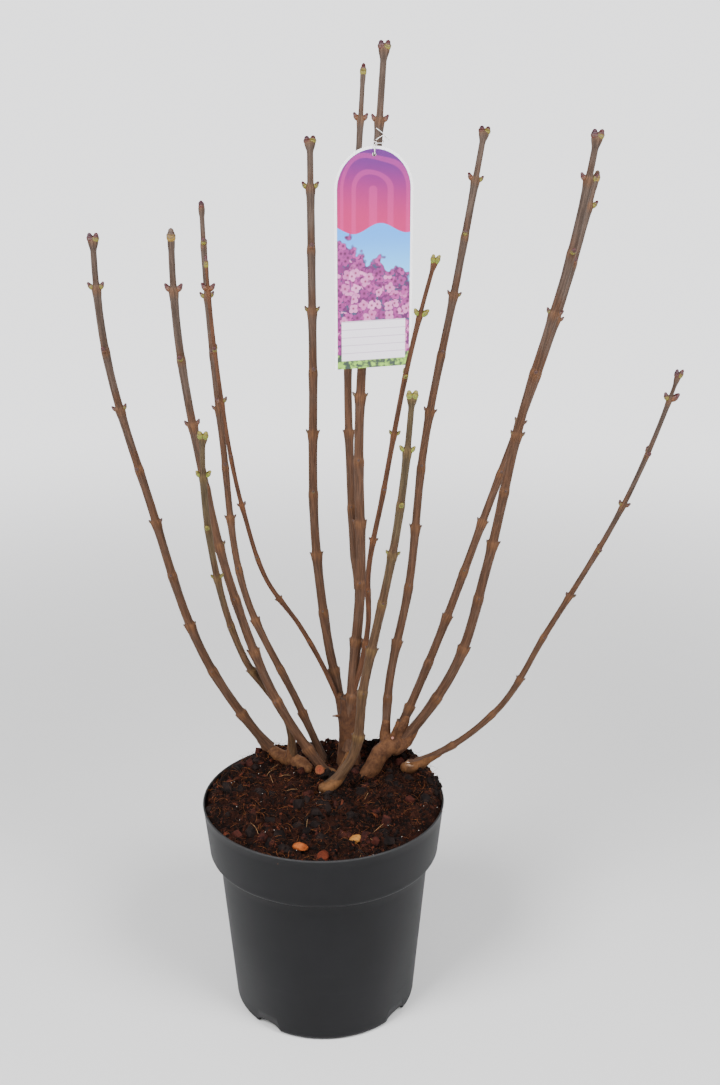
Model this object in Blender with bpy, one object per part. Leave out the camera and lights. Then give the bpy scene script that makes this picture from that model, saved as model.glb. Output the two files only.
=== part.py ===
"""A potted lilac in its winter state: a many-stemmed bare shrub in a round nursery pot.

Frame: metres, +Z up, origin at the centre of the pot's flat underside. The plant's front
faces -Y. The tallest cane reaches about 1.06 m, and the crown spreads about 0.6 m.
"""
import math
import random
from collections import namedtuple

import bmesh
import bpy
import numpy as np
from mathutils import Vector

MM = 0.001
GAP = 0.3 * MM                      # clearance between neighbouring solids
CLEARANCE = 0.35 * MM               # how far a carrier's faces move out to cut its cane

# ---- the pot: a blow-moulded container with a wide collar -------------------------------
POT_SIDES = 48
POT_HEIGHT = 250 * MM
RIM_RADIUS = 136 * MM
COLLAR_HEIGHT = 62 * MM             # the wide band under the rim
COLLAR_FOOT_RADIUS = 130 * MM
COLLAR_ROUNDING = 7 * MM
BODY_TOP_RADIUS = 119.5 * MM
BODY_FOOT_RADIUS = 104 * MM
BASE_ROUNDING = 7 * MM
POT_WALL = 2.0 * MM
POT_FLOOR = 3.0 * MM
DRAIN_COUNT = 4
DRAIN_FIRST_ANGLE = math.radians(52.5)
DRAIN_WIDTH = 34 * MM
DRAIN_HEIGHT = 11 * MM
DRAIN_DEPTH = 14 * MM
DRAIN_ARCH = ((0.95, 0.7), (0.7, 1.0))   # shares of the half width and height, going up

# ---- the soil: lower at the front, mounded up to the foot of the plant ------------------
SOIL_EDGE = 243 * MM                # height of the soil against the pot wall
GROUND = 260 * MM                   # height of the level top of the mound
MOUND_FRONT = -105 * MM             # the slope starts here and ...
MOUND_LEVEL = -15 * MM              # ... is level from here to the back
MOUND_SHOULDER = 15 * MM            # width of the drop to the wall
SOIL_TOP_RINGS = (30 * MM, 60 * MM, 85 * MM, 104 * MM, 118 * MM, 126 * MM)

# ---- buds and nodes -----------------------------------------------------------------------
CANE_SIDES = 6
NODE_RISE = 3 * MM                  # a node's swelling reaches this far above its middle
NODE_DROP = 2 * MM                  # ... and this far below, where it is thickest
NODE_TAIL = 14 * MM                 # the swelling has run out this far below
NODE_SWELL = 1.28
NODE_TOP_SWELL = 1.21
NODE_SHIFT = 4 * MM                 # how unevenly the nodes are spaced
BUD_LENGTH_LOW = 2.0 * MM           # the lowest pair of a cane, worn down, and ...
BUD_LENGTH_HIGH = 9 * MM            # ... the highest
BUD_SPREAD = 0.48                   # how far a bud stands out, for each unit of its length
BUD_BELLY = (0.85, 0.10)            # its lower edge: shares of that spread and of its length
BUD_BACK = (0.55, 0.42)             # its upper edge, likewise
BUD_WIDEN = 0.15
BUD_POINT_OUT = 1.25                # its point, as a share of the spread
TWIN_BUD_LENGTH = 7.5 * MM          # the pair that ends a forked tip
NECK = 0.78                         # how much thinner a cane is above its top pair
TIP_BUD_LENGTH = 13 * MM            # the single bud that ends the others
FOOT_FLARE = 0.4
FLARE_REACH = 30 * MM               # a cane thickens over this much above its foot
# a single tip: shares of the bud's length from its point, and thickness against the cane's
SINGLE_TIP = ((0.0, 0.16), (0.22, 0.75), (0.5, 1.05), (0.8, 0.95), (1.0, NECK))
# a forked tip: distance below the end, thickness, and the length of the buds there
TWIN_TIP = ((3.0 * MM, 0.7, 0.0), (6.0 * MM, 1.05, TWIN_BUD_LENGTH),
            (10 * MM, 1.15, 0.0), (19 * MM, NECK, 0.0))
SEED = 11

# ---- the canes ----------------------------------------------------------------------------
# Millimetres. foot: where the middle of the cane starts. bends: the places, (x, height),
#   where its lean changes. tip: the end of the cane. wide: diameters at foot and tip.
# first, gap: distance of the top pair of buds below the tip, and from each pair to the next.
# turn: 0 puts the top pair left and right, 1 front and back. bud: how the cane ends.
# carrier: the solid it grows from, or None where it stands in the soil.
DEPTH_LAW = 1.3                     # a cane leans forward or back more the higher it gets
SPINE_STEPS = 240
Cane = namedtuple("Cane", "name foot bends tip wide first gap turn bud carrier bark")
CANES = [
    Cane("cane_left_outer", (-66, 88, 266), ((-125, 360), (-190, 590), (-223, 765)),
         (-224, 10, 875), (11.0, 7.2), 56, 66, 0, "twin", "stump_left", "grey"),
    Cane("cane_left_second", (10, 37, 250), ((-43, 336), (-98, 500), (-125, 655), (-139, 800)),
         (-138, -50, 885), (11.0, 7.2), 60, 70, 0, "single", None, "grey"),
    Cane("cane_left_short", (-38, 64, 264), ((-40, 305), (-87, 410), (-113, 565)),
         (-109, -100, 700), (8.5, 6.2), 56, 69, 0, "twin", "stump_left", "green"),
    Cane("cane_left_third", (0, 80, 250), ((-30, 320), (-91, 449), (-117, 632), (-133, 798)),
         (-138, 210, 890), (9.0, 6.4), 48, 62, 1, "twin", None, "grey"),
    Cane("cane_left_whip", (16, 68, 338), ((-27, 432), (-62, 487), (-86, 570), (-108, 728)),
         (-115, 30, 850), (5.8, 4.0), 34, 60, 0, "single", "cane_centre_left", "red"),
    Cane("cane_centre_left", (24, 68, 280), ((19, 328), (4, 405), (-9, 510), (-12, 715)),
         (-15, 220, 960), (11.0, 8.4), 57, 69, 0, "twin", "stump_centre", "grey"),
    Cane("cane_centre_back", (35, 60, 516), ((31, 600), (28, 710), (40, 950)),
         (45, 140, 1035), (10.0, 5.8), 56, 81, 0, "single", "cane_centre_tall", "grey"),
    Cane("cane_centre_tall", (28, 57, 280), ((33, 372), (41, 473), (40, 655), (58, 945)),
         (65, 30, 1055), (12.5, 7.5), 74, 71, 0, "twin", "stump_centre", "grey"),
    Cane("cane_right_thin", (40, 50, 380), ((50, 443), (50, 510), (65, 613), (92, 787)),
         (110, -130, 870), (6.3, 4.6), 65, 69, 0, "twin", "cane_centre_tall", "red"),
    Cane("cane_front_short", (2, 2, 258), ((28, 292), (45, 394), (80, 601)),
         (91, -100, 740), (11.5, 6.8), 65, 58, 0, "twin", "stump_front", "green"),
    Cane("cane_right_back", (71, 61, 285), ((74, 350), (97, 470), (113, 620), (150, 805)),
         (182, 230, 970), (10.0, 8.0), 61, 66, 0, "twin", "stump_right", "grey"),
    Cane("cane_right_main", (82, 60, 280), ((150, 390), (179, 510), (208, 686), (248, 862)),
         (264, -40, 975), (11.8, 7.5), 47, 67, 0, "twin", "stump_right", "grey"),
    Cane("cane_right_second", (86, 74, 293), ((131, 406), (176, 532), (273, 815)),
         (301, 170, 925), (10.0, 7.2), 38, 60, 0, "single", "stump_right", "grey"),
    Cane("cane_right_outer", (98, 51, 264), ((135, 283), (194, 341), (243, 449), (313, 627)),
         (343, -100, 760), (7.8, 4.3), 33, 62, 0, "twin", "stump_outer", "grey"),
]

# ---- the old wood that the canes grow from: paths in millimetres, diameters along them ----
Stump = namedtuple("Stump", "name path diameters")
STUMPS = [
    Stump("stump_left", ((-82, 100, 261), (-62, 82, 265), (-42, 64, 265), (-21, 46, 261)),
          (13, 18, 20, 15)),
    Stump("stump_centre", ((29, 66, 248), (28, 64, 275), (27, 62, 310), (25, 60, 343)),
          (28, 24, 20, 15)),
    Stump("stump_right", ((48, 46, 248), (58, 52, 272), (76, 62, 288), (86, 69, 306)),
          (25, 24, 22, 10)),
    Stump("stump_front", ((-9, -4, 256), (1, 1, 261), (12, 3, 266)), (14, 18, 15)),
    Stump("stump_outer", ((91, 50, 250), (96, 52, 260), (99, 55, 268)), (18, 18, 13)),
]
STUMP_SIDES = 10
STUMP_RINGS = 7
STUMP_STEPS = 40

# ---- the hanging label and its tie --------------------------------------------------------
LABEL_WIDTH = 84 * MM
LABEL_HEIGHT = 220 * MM
LABEL_THICK = 0.8 * MM
LABEL_TOP = Vector((55, 25, 956.5)) * MM
LABEL_TURN = math.radians(20)       # its right side hangs further back
LABEL_ARC_STEPS = 28
LABEL_HOLE_RADIUS = 2.0 * MM
LABEL_HOLE_DROP = 8.0 * MM
LABEL_HOLE_STEPS = 10
TIE_DIAMETER = 1.0 * MM
TIE_STEPS = 52
TIE_SLACK = 0.4 * MM
TIE_WRAP_POINTS = 9
TIE_WRAP_FROM = math.radians(-50)   # the part of the way round the cane that it lies on
TIE_WRAP_SWEEP = math.radians(280)
TIE_WRAP_SAG = 3.5 * MM             # the ends of the wrap hang below its middle
TIE_WRAP_DROP = 2 * MM
TIE_LEVEL = 9 * MM                  # height of the wrap above the card's top
# the ends of the loop at the hole: distance from the card's middle, and height above the seat
TIE_FRONT = ((2.0 * MM, 0.0), (2.4 * MM, 8.5 * MM))
TIE_BACK = ((2.4 * MM, 4.0 * MM), (1.6 * MM, 0.0))


def remove_old_objects():
    for old in list(bpy.data.objects):
        bpy.data.objects.remove(old, do_unlink=True)


def finish(shape, name, colour, roughness):
    """Give a mesh or curve its own plain material."""
    material = bpy.data.materials.new(name + "_finish")
    material.use_nodes = True
    shader = material.node_tree.nodes["Principled BSDF"]
    shader.inputs["Base Color"].default_value = (*colour, 1.0)
    shader.inputs["Roughness"].default_value = roughness
    shader.inputs["Metallic"].default_value = 0.0
    shape.materials.append(material)


def add_object(bm, name, colour, roughness, sharp_degrees=40.0):
    """Turn a bmesh into a named, smooth shaded object with its own material."""
    bmesh.ops.recalc_face_normals(bm, faces=bm.faces)
    mesh = bpy.data.meshes.new(name)
    bm.to_mesh(mesh)
    bm.free()
    mesh.shade_smooth()
    mesh.set_sharp_from_angle(angle=math.radians(sharp_degrees))
    finish(mesh, name, colour, roughness)
    obj = bpy.data.objects.new(name, mesh)
    bpy.context.scene.collection.objects.link(obj)
    return obj


def make_cutter(bm, name):
    """A cutter or guide: never part of the model itself."""
    bmesh.ops.recalc_face_normals(bm, faces=bm.faces)
    mesh = bpy.data.meshes.new(name)
    bm.to_mesh(mesh)
    bm.free()
    obj = bpy.data.objects.new(name, mesh)
    obj.hide_render = True
    obj.display_type = "WIRE"
    bpy.context.scene.collection.objects.link(obj)
    return obj


def subtract(obj, cutter):
    cut = obj.modifiers.new("cut_" + cutter.name, "BOOLEAN")
    cut.operation = "DIFFERENCE"
    cut.solver = "EXACT"
    cut.object = cutter


# ---- the pot and its soil -------------------------------------------------------------------
def body_radius(z):
    """Outer radius of the pot's tapering body at a height."""
    foot = BASE_ROUNDING
    top = POT_HEIGHT - COLLAR_HEIGHT
    share = (z - foot) / (top - foot)
    return BODY_FOOT_RADIUS + (BODY_TOP_RADIUS - BODY_FOOT_RADIUS) * share


def rounded_corner(start, corner, end, steps):
    """Points of a quarter-round from start to end, drawn towards the corner."""
    a, b, c = (np.array(point) for point in (start, corner, end))
    shares = [step / steps for step in range(steps + 1)]
    return [tuple((1 - t) ** 2 * a + 2 * t * (1 - t) * b + t ** 2 * c) for t in shares]


def pot_outer_profile():
    """(radius, height) from the underside up to the rim's outer edge."""
    step = POT_HEIGHT - COLLAR_HEIGHT
    base = rounded_corner((BODY_FOOT_RADIUS - BASE_ROUNDING, 0.0), (BODY_FOOT_RADIUS, 0.0),
                          (BODY_FOOT_RADIUS, BASE_ROUNDING), 4)
    collar = rounded_corner((COLLAR_FOOT_RADIUS - COLLAR_ROUNDING, step),
                            (COLLAR_FOOT_RADIUS, step),
                            (COLLAR_FOOT_RADIUS, step + COLLAR_ROUNDING), 3)
    body = [(body_radius(z), z) for z in (step * 0.35, step * 0.7, step - 1 * MM)]
    rim = [(RIM_RADIUS - 0.5 * MM, POT_HEIGHT - 2 * MM), (RIM_RADIUS, POT_HEIGHT - 1 * MM)]
    return base + body + collar + rim


def pot_inner_profile():
    """(radius, height) from the rim's inner edge down to the floor."""
    step = POT_HEIGHT - COLLAR_HEIGHT
    return [
        (RIM_RADIUS - POT_WALL, POT_HEIGHT - 0.4 * MM),
        (COLLAR_FOOT_RADIUS - POT_WALL, step + COLLAR_ROUNDING),
        (COLLAR_FOOT_RADIUS - POT_WALL - COLLAR_ROUNDING * 0.6, step + POT_WALL),
        (body_radius(step) - POT_WALL, step - 1 * MM),
        (BODY_FOOT_RADIUS - POT_WALL, BASE_ROUNDING + POT_WALL),
        (BODY_FOOT_RADIUS - POT_WALL - BASE_ROUNDING * 0.7, POT_FLOOR),
    ]


def turned(bm, profile, sides):
    """Spin an open profile that starts and ends on the axis into a closed shell."""
    verts = [bm.verts.new((radius, 0.0, z)) for radius, z in profile]
    edges = [bm.edges.new(pair) for pair in zip(verts, verts[1:])]
    bmesh.ops.spin(bm, geom=verts + edges, cent=(0, 0, 0), axis=(0, 0, 1),
                   angle=math.tau, steps=sides)
    bmesh.ops.remove_doubles(bm, verts=bm.verts, dist=0.01 * MM)


def make_pot():
    bm = bmesh.new()
    rim_top = [(RIM_RADIUS - POT_WALL * 0.45, POT_HEIGHT)]
    profile = [(0.0, 0.0)] + pot_outer_profile() + rim_top + pot_inner_profile()
    turned(bm, profile + [(0.0, POT_FLOOR)], POT_SIDES)
    pot = add_object(bm, "pot", (0.022, 0.025, 0.029), 0.42, 30)
    subtract(pot, drain_cutter())
    return pot


def drain_cutter():
    """Low arches cut through the pot's bottom corner, where water runs out."""
    bm = bmesh.new()
    clear = 4 * MM                  # how far the cutter stands out of the pot
    outer = BODY_FOOT_RADIUS + clear
    for index in range(DRAIN_COUNT):
        angle = DRAIN_FIRST_ANGLE + index * math.tau / DRAIN_COUNT
        outward = Vector((math.sin(angle), -math.cos(angle), 0.0))
        along = Vector((math.cos(angle), math.sin(angle), 0.0))
        half = DRAIN_WIDTH / 2
        right = [(half, -clear)] + [(half * x, DRAIN_HEIGHT * z) for x, z in DRAIN_ARCH]
        arch = right + [(-x, z) for x, z in reversed(right)]
        near = [outward * (outer - DRAIN_DEPTH) + along * x + Vector((0, 0, z))
                for x, z in arch]
        face = bm.faces.new([bm.verts.new(point) for point in near])
        grown = bmesh.ops.extrude_face_region(bm, geom=[face])
        moved = [item for item in grown["geom"] if isinstance(item, bmesh.types.BMVert)]
        bmesh.ops.translate(bm, verts=moved, vec=outward * (DRAIN_DEPTH + clear))
    return make_cutter(bm, "drain_cutter")


def smooth(share):
    share = min(1.0, max(0.0, share))
    return share * share * (3 - 2 * share)


def soil_wall_radius():
    """Radius of the soil where its top meets the pot wall."""
    step = POT_HEIGHT - COLLAR_HEIGHT + COLLAR_ROUNDING
    share = (SOIL_EDGE - step) / (POT_HEIGHT - step)
    inner = COLLAR_FOOT_RADIUS + (RIM_RADIUS - COLLAR_FOOT_RADIUS) * share
    return inner - POT_WALL - GAP * 2


def soil_height(x, y):
    wall = soil_wall_radius() - math.hypot(x, y)
    back = smooth((y - MOUND_FRONT) / (MOUND_LEVEL - MOUND_FRONT))
    return SOIL_EDGE + (GROUND - SOIL_EDGE) * back * smooth(wall / MOUND_SHOULDER)


def make_soil():
    """Fills the pot 0.3 mm clear of its wall, with a mounded top."""
    bm = bmesh.new()
    sides = [(radius - GAP, z) for radius, z in pot_inner_profile()[1:]]
    sides[-1] = (sides[-1][0], sides[-1][1] + GAP)
    top = [(radius, GROUND) for radius in SOIL_TOP_RINGS] + [(soil_wall_radius(), SOIL_EDGE)]
    profile = [(0.0, GROUND)] + top + sides + [(0.0, POT_FLOOR + GAP)]
    turned(bm, profile, POT_SIDES)
    for vert in bm.verts:
        if vert.co.z > SOIL_EDGE - GAP:
            vert.co.z = soil_height(vert.co.x, vert.co.y)
    return add_object(bm, "soil", (0.035, 0.02, 0.013), 0.95, 60)


# ---- limbs --------------------------------------------------------------------------------
def smooth_path(places, count):
    """A smooth curve through every place, its slope at each from the two legs that meet."""
    pairs = list(zip(places, places[1:]))
    legs = [(b - a).length for a, b in pairs]
    rates = [(b - a) / leg for (a, b), leg in zip(pairs, legs)]
    slopes = [(rates[i - 1] * legs[i] + rates[i] * legs[i - 1]) / (legs[i - 1] + legs[i])
              for i in range(1, len(legs))]
    slopes = [2 * rates[0] - slopes[0]] + slopes + [2 * rates[-1] - slopes[-1]]
    ends = np.cumsum([0.0] + legs)
    curve = []
    for along in np.linspace(0.0, ends[-1], count):
        leg = min(len(legs) - 1, int(np.searchsorted(ends, along, side="right")) - 1)
        t = (along - ends[leg]) / legs[leg]
        swing = slopes[leg] * (t * (1 - t) ** 2) - slopes[leg + 1] * (t * t * (1 - t))
        curve.append(places[leg].lerp(places[leg + 1], smooth(t)) + swing * legs[leg])
    return curve


def cane_path(cane):
    """From the foot, through the bends, to the tip; the depth at a bend follows DEPTH_LAW."""
    foot = Vector(cane.foot) * MM
    tip = Vector(cane.tip) * MM
    flat = [(foot.x, foot.z)] + [(x * MM, z * MM) for x, z in cane.bends] + [(tip.x, tip.z)]
    legs = [math.dist(a, b) for a, b in zip(flat, flat[1:])]
    shares = np.cumsum([0.0] + legs) / sum(legs)
    places = [Vector((x, foot.y + (tip.y - foot.y) * share ** DEPTH_LAW, z))
              for (x, z), share in zip(flat, shares)]
    return smooth_path(places, SPINE_STEPS)


def polyline(controls, count):
    """Evenly spread points along straight legs, for short stumps."""
    points = [Vector(point) * MM for point in controls]
    legs = len(points) - 1
    curve = []
    for index in range(count):
        u = legs * index / (count - 1)
        leg = min(int(u), legs - 1)
        curve.append(points[leg].lerp(points[leg + 1], u - leg))
    return curve


class Spine:
    """A limb's centre line, measured from its last point, with a side that never twists."""

    def __init__(self, points):
        self.points = list(reversed(points))
        self.lengths = [0.0]
        for a, b in zip(self.points, self.points[1:]):
            self.lengths.append(self.lengths[-1] + (b - a).length)
        self.sides = []
        side = Vector((1, 0, 0))
        for index in range(len(self.points)):
            tangent = self.tangent(index)
            side = (side - tangent * side.dot(tangent)).normalized()
            self.sides.append(side)

    @property
    def length(self):
        return self.lengths[-1]

    def tangent(self, index):
        """Direction towards the last point of the limb, its tip."""
        low = max(0, index - 1)
        high = min(len(self.points) - 1, index + 1)
        return (self.points[low] - self.points[high]).normalized()

    def at(self, distance):
        """Place, direction and two cross directions at a distance from the tip."""
        distance = min(self.length, max(0.0, distance))
        index = max(0, min(len(self.lengths) - 2,
                           int(np.searchsorted(self.lengths, distance)) - 1))
        leg = self.lengths[index + 1] - self.lengths[index]
        share = (distance - self.lengths[index]) / leg
        place = self.points[index].lerp(self.points[index + 1], share)
        tangent = self.tangent(index).lerp(self.tangent(index + 1), share).normalized()
        side = self.sides[index].lerp(self.sides[index + 1], share)
        side = (side - tangent * side.dot(tangent)).normalized()
        return place, tangent, side, tangent.cross(side)


def add_ring(bm, spine, distance, radius, turn, sides):
    """One ring of a limb; face number n then looks along turn + n * 360 / sides."""
    place, _, side, front = spine.at(distance)
    ring = []
    for index in range(sides):
        angle = turn + (index - 0.5) * math.tau / sides
        ring.append(bm.verts.new(place + (side * math.cos(angle) + front * math.sin(angle))
                                 * radius))
    return ring


def bridge(bm, first, second):
    sides = len(first)
    return [bm.faces.new((first[i], first[(i + 1) % sides],
                          second[(i + 1) % sides], second[i])) for i in range(sides)]


def grow_bud(bm, face, tangent, length):
    """Pull one face of a limb out into a pointed bud that leans along the limb."""
    out = length * BUD_SPREAD
    centre = face.calc_center_median()
    outward = face.normal - tangent * face.normal.dot(tangent)
    outward.normalize()
    across = tangent.cross(outward)
    belly = bmesh.ops.extrude_discrete_faces(bm, faces=[face])["faces"][0]
    for vert in belly.verts:
        offset = vert.co - centre
        spread, rise = BUD_BACK if offset.dot(tangent) > 0 else BUD_BELLY
        vert.co += outward * out * spread + tangent * length * rise
        vert.co += across * offset.dot(across) * BUD_WIDEN
    tip = bmesh.ops.poke(bm, faces=[belly])["verts"][0]
    tip.co = centre + outward * out * BUD_POINT_OUT + tangent * (length + NODE_RISE / 2)


def cane_stations(cane, length, rng):
    """Rings from the tip down: (distance, thickness factor, turn, bud length or 0)."""
    sixth = math.tau / CANE_SIDES
    start = cane.turn * math.pi / 2
    if cane.bud == "single":
        rows = [(TIP_BUD_LENGTH * share, factor, start, 0.0) for share, factor in SINGLE_TIP]
    else:
        rows = [(distance, factor, start, bud) for distance, factor, bud in TWIN_TIP]
    distance = cane.first * MM
    turn = start
    while distance < length - FLARE_REACH:
        worn = math.sqrt(distance / length)
        bud = BUD_LENGTH_HIGH + (BUD_LENGTH_LOW - BUD_LENGTH_HIGH) * worn
        before, _, last_turn, _ = rows[-1]
        plain = 1.0 if distance > cane.first * MM else NECK
        rows.append(((before + distance) / 2, plain, (last_turn + turn) / 2, 0.0))
        rows.append((distance - NODE_RISE, NODE_TOP_SWELL, turn, bud))
        rows.append((distance + NODE_DROP, NODE_SWELL, turn, 0.0))
        rows.append((distance + NODE_TAIL, 1.0, turn, 0.0))
        distance += cane.gap * MM + rng.uniform(-NODE_SHIFT, NODE_SHIFT)
        turn += sixth / 2
    foot_turn = rows[-1][2]
    above_flare = max(rows[-1][0] + NODE_RISE, length - FLARE_REACH)
    for place in (above_flare, length - FLARE_REACH / 3, length):
        rows.append((place, 1.0, foot_turn, 0.0))
    return rows


def cane_radius(cane, share):
    """Plain radius of a cane at a share of its length from the tip."""
    foot, tip = cane.wide
    return (tip + (foot - tip) * share) / 2 * MM


def foot_flare(height):
    """How much thicker a cane is, this far above its foot, than its taper gives."""
    return 1 + FOOT_FLARE * max(0.0, 1 - height / FLARE_REACH) ** 2


BARK_COLOURS = {"grey": (0.20, 0.13, 0.085), "green": (0.20, 0.17, 0.075),
                "red": (0.21, 0.10, 0.055)}


def make_cane(cane, rng):
    """A tapering cane with swollen nodes and crossed pairs of buds, all in one skin."""
    spine = Spine(cane_path(cane))
    rows = cane_stations(cane, spine.length, rng)
    bm = bmesh.new()
    rings = []
    for distance, factor, turn, _ in rows:
        radius = cane_radius(cane, distance / spine.length)
        radius *= factor * foot_flare(spine.length - distance)
        rings.append(add_ring(bm, spine, distance, radius, turn, CANE_SIDES))
    bm.faces.new(rings[0])
    bm.faces.new(list(reversed(rings[-1])))
    walls = [bridge(bm, above, below) for above, below in zip(rings, rings[1:])]
    bmesh.ops.recalc_face_normals(bm, faces=bm.faces)
    number = 0
    for (distance, _, _, bud), wall in zip(rows, walls):
        if bud == 0.0:
            continue
        terminal = distance < cane.first * MM - NODE_RISE
        pair = 0 if terminal else number % CANE_SIDES
        for face in (wall[pair], wall[(pair + CANE_SIDES // 2) % CANE_SIDES]):
            grow_bud(bm, face, spine.at(distance)[1], bud)
        number += 0 if terminal else 1
    cut_at_ground(bm)
    # the walls are twisted quads, so a cane and the cutter made from it share these triangles
    bmesh.ops.triangulate(bm, faces=bm.faces)
    return add_object(bm, cane.name, BARK_COLOURS[cane.bark], 0.7)


def cut_at_ground(bm):
    """The flat cut where old wood stands on the soil."""
    level = GROUND + GAP
    if min(vert.co.z for vert in bm.verts) > level:
        return
    geometry = bm.verts[:] + bm.edges[:] + bm.faces[:]
    bmesh.ops.bisect_plane(bm, geom=geometry, dist=0.001 * MM, plane_co=(0, 0, level),
                           plane_no=(0, 0, 1), clear_inner=True)
    rim = [edge for edge in bm.edges if edge.is_boundary]
    bmesh.ops.holes_fill(bm, edges=rim, sides=0)


def make_stump(stump):
    spine = Spine(polyline(stump.path, STUMP_STEPS))
    bm = bmesh.new()
    rings = []
    for index in range(STUMP_RINGS):
        share = 1 - index / (STUMP_RINGS - 1)
        places = np.linspace(0.0, 1.0, len(stump.diameters))
        thick = float(np.interp(share, places, stump.diameters))
        distance = spine.length * (1 - share)
        rings.append(add_ring(bm, spine, distance, thick / 2 * MM, 0.0, STUMP_SIDES))
    bm.faces.new(rings[0])
    bm.faces.new(list(reversed(rings[-1])))
    for above, below in zip(rings, rings[1:]):
        bridge(bm, above, below)
    cut_at_ground(bm)
    return add_object(bm, stump.name, (0.17, 0.095, 0.06), 0.85)


def clear_of(obj, carrier):
    """Cut the foot of a cane where it meets what carries it, 0.3 mm clear."""
    bm = bmesh.new()
    bm.from_mesh(carrier.data)
    for vert in bm.verts:
        vert.normal_update()
    moves = [(vert, vert.normal * CLEARANCE) for vert in bm.verts]
    for vert, move in moves:
        vert.co += move
    subtract(obj, make_cutter(bm, "clearance_" + obj.name))


# ---- the label ------------------------------------------------------------------------------
def label_axes():
    """Across the card, and out of its printed face."""
    across = Vector((math.cos(LABEL_TURN), math.sin(LABEL_TURN), 0.0))
    out = Vector((math.sin(LABEL_TURN), -math.cos(LABEL_TURN), 0.0))
    return across, out


def make_label():
    """A card with a half-round top and a punched hole, hanging on edge."""
    across, out = label_axes()
    radius = LABEL_WIDTH / 2
    steps = LABEL_ARC_STEPS
    outline = [(-radius, -LABEL_HEIGHT), (radius, -LABEL_HEIGHT)]
    for step in range(steps + 1):
        angle = math.pi * step / steps
        outline.append((radius * math.cos(angle), radius * math.sin(angle) - radius))
    hole = [(LABEL_HOLE_RADIUS * math.cos(math.tau * step / LABEL_HOLE_STEPS),
             LABEL_HOLE_RADIUS * math.sin(math.tau * step / LABEL_HOLE_STEPS)
             - LABEL_HOLE_DROP) for step in range(LABEL_HOLE_STEPS)]
    bm = bmesh.new()
    edges = []
    for loop in (outline, hole):
        verts = [bm.verts.new(LABEL_TOP + across * x + Vector((0, 0, z))
                              - out * LABEL_THICK / 2) for x, z in loop]
        edges += [bm.edges.new((verts[i - 1], verts[i])) for i in range(len(verts))]
    bmesh.ops.triangle_fill(bm, edges=edges, use_beauty=True)
    grown = bmesh.ops.extrude_face_region(bm, geom=bm.faces[:])
    moved = [item for item in grown["geom"] if isinstance(item, bmesh.types.BMVert)]
    bmesh.ops.translate(bm, verts=moved, vec=out * LABEL_THICK)
    return add_object(bm, "label", (0.80, 0.55, 0.70), 0.35, 30)


def make_label_tie(cane):
    """A thin closed loop through the card's hole and round the cane it hangs from."""
    across, out = label_axes()
    hole = LABEL_TOP - Vector((0, 0, LABEL_HOLE_DROP))
    spine = Spine(cane_path(cane))
    level = LABEL_TOP.z + TIE_LEVEL
    nearest = min(range(len(spine.points)), key=lambda i: abs(spine.points[i].z - level))
    stem = spine.points[nearest]
    share = spine.lengths[nearest] / spine.length
    girth = cane_radius(cane, share) + TIE_DIAMETER / 2 + TIE_SLACK
    up = Vector((0, 0, 1))
    seat = hole + up * (LABEL_HOLE_RADIUS - TIE_DIAMETER / 2 - TIE_SLACK)
    route = [seat + out * away + up * height for away, height in TIE_FRONT]
    for step in range(TIE_WRAP_POINTS):
        share = step / (TIE_WRAP_POINTS - 1)
        angle = TIE_WRAP_FROM + TIE_WRAP_SWEEP * share
        height = -TIE_WRAP_DROP - TIE_WRAP_SAG * (2 * share - 1) ** 2
        route.append(stem + (across * math.cos(angle) - out * math.sin(angle)) * girth
                     + up * height)
    route += [seat - out * away + up * height for away, height in TIE_BACK]
    curve = bpy.data.curves.new("label_tie", "CURVE")
    curve.dimensions = "3D"
    curve.bevel_depth = TIE_DIAMETER / 2
    curve.bevel_resolution = 1
    spline = curve.splines.new("POLY")
    spline.points.add(TIE_STEPS - 1)
    spline.use_cyclic_u = True
    for index in range(TIE_STEPS):
        spline.points[index].co = (*closed_smooth(route, index / TIE_STEPS), 1.0)
    finish(curve, "label_tie", (0.8, 0.78, 0.74), 0.6)
    obj = bpy.data.objects.new("label_tie", curve)
    bpy.context.scene.collection.objects.link(obj)
    return obj


def closed_smooth(points, share):
    """A point on the closed Catmull-Rom curve through the given points."""
    count = len(points)
    place = share * count
    index = int(place) % count
    t = place - int(place)
    a, b, c, d = (points[(index + step - 1) % count] for step in range(4))
    return 0.5 * (2 * b + (c - a) * t + (2 * a - 5 * b + 4 * c - d) * t ** 2
                  + (3 * b - a - 3 * c + d) * t ** 3)


remove_old_objects()
make_pot()
make_soil()
solids = {stump.name: make_stump(stump) for stump in STUMPS}
for number, row in enumerate(CANES):
    solids[row.name] = make_cane(row, random.Random(SEED + number))
for row in CANES:
    if row.carrier:
        clear_of(solids[row.name], solids[row.carrier])
make_label()
make_label_tie(next(row for row in CANES if row.name == "cane_centre_tall"))
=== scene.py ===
"""Looks of a potted lilac in its winter state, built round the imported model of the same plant.

Metres, +Z up, origin at the centre of the pot's flat underside, the plant's front facing -Y.
"""
import math
import random
from collections import namedtuple

import bmesh
import bpy
import numpy as np
from mathutils import Matrix, Vector, noise


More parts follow.
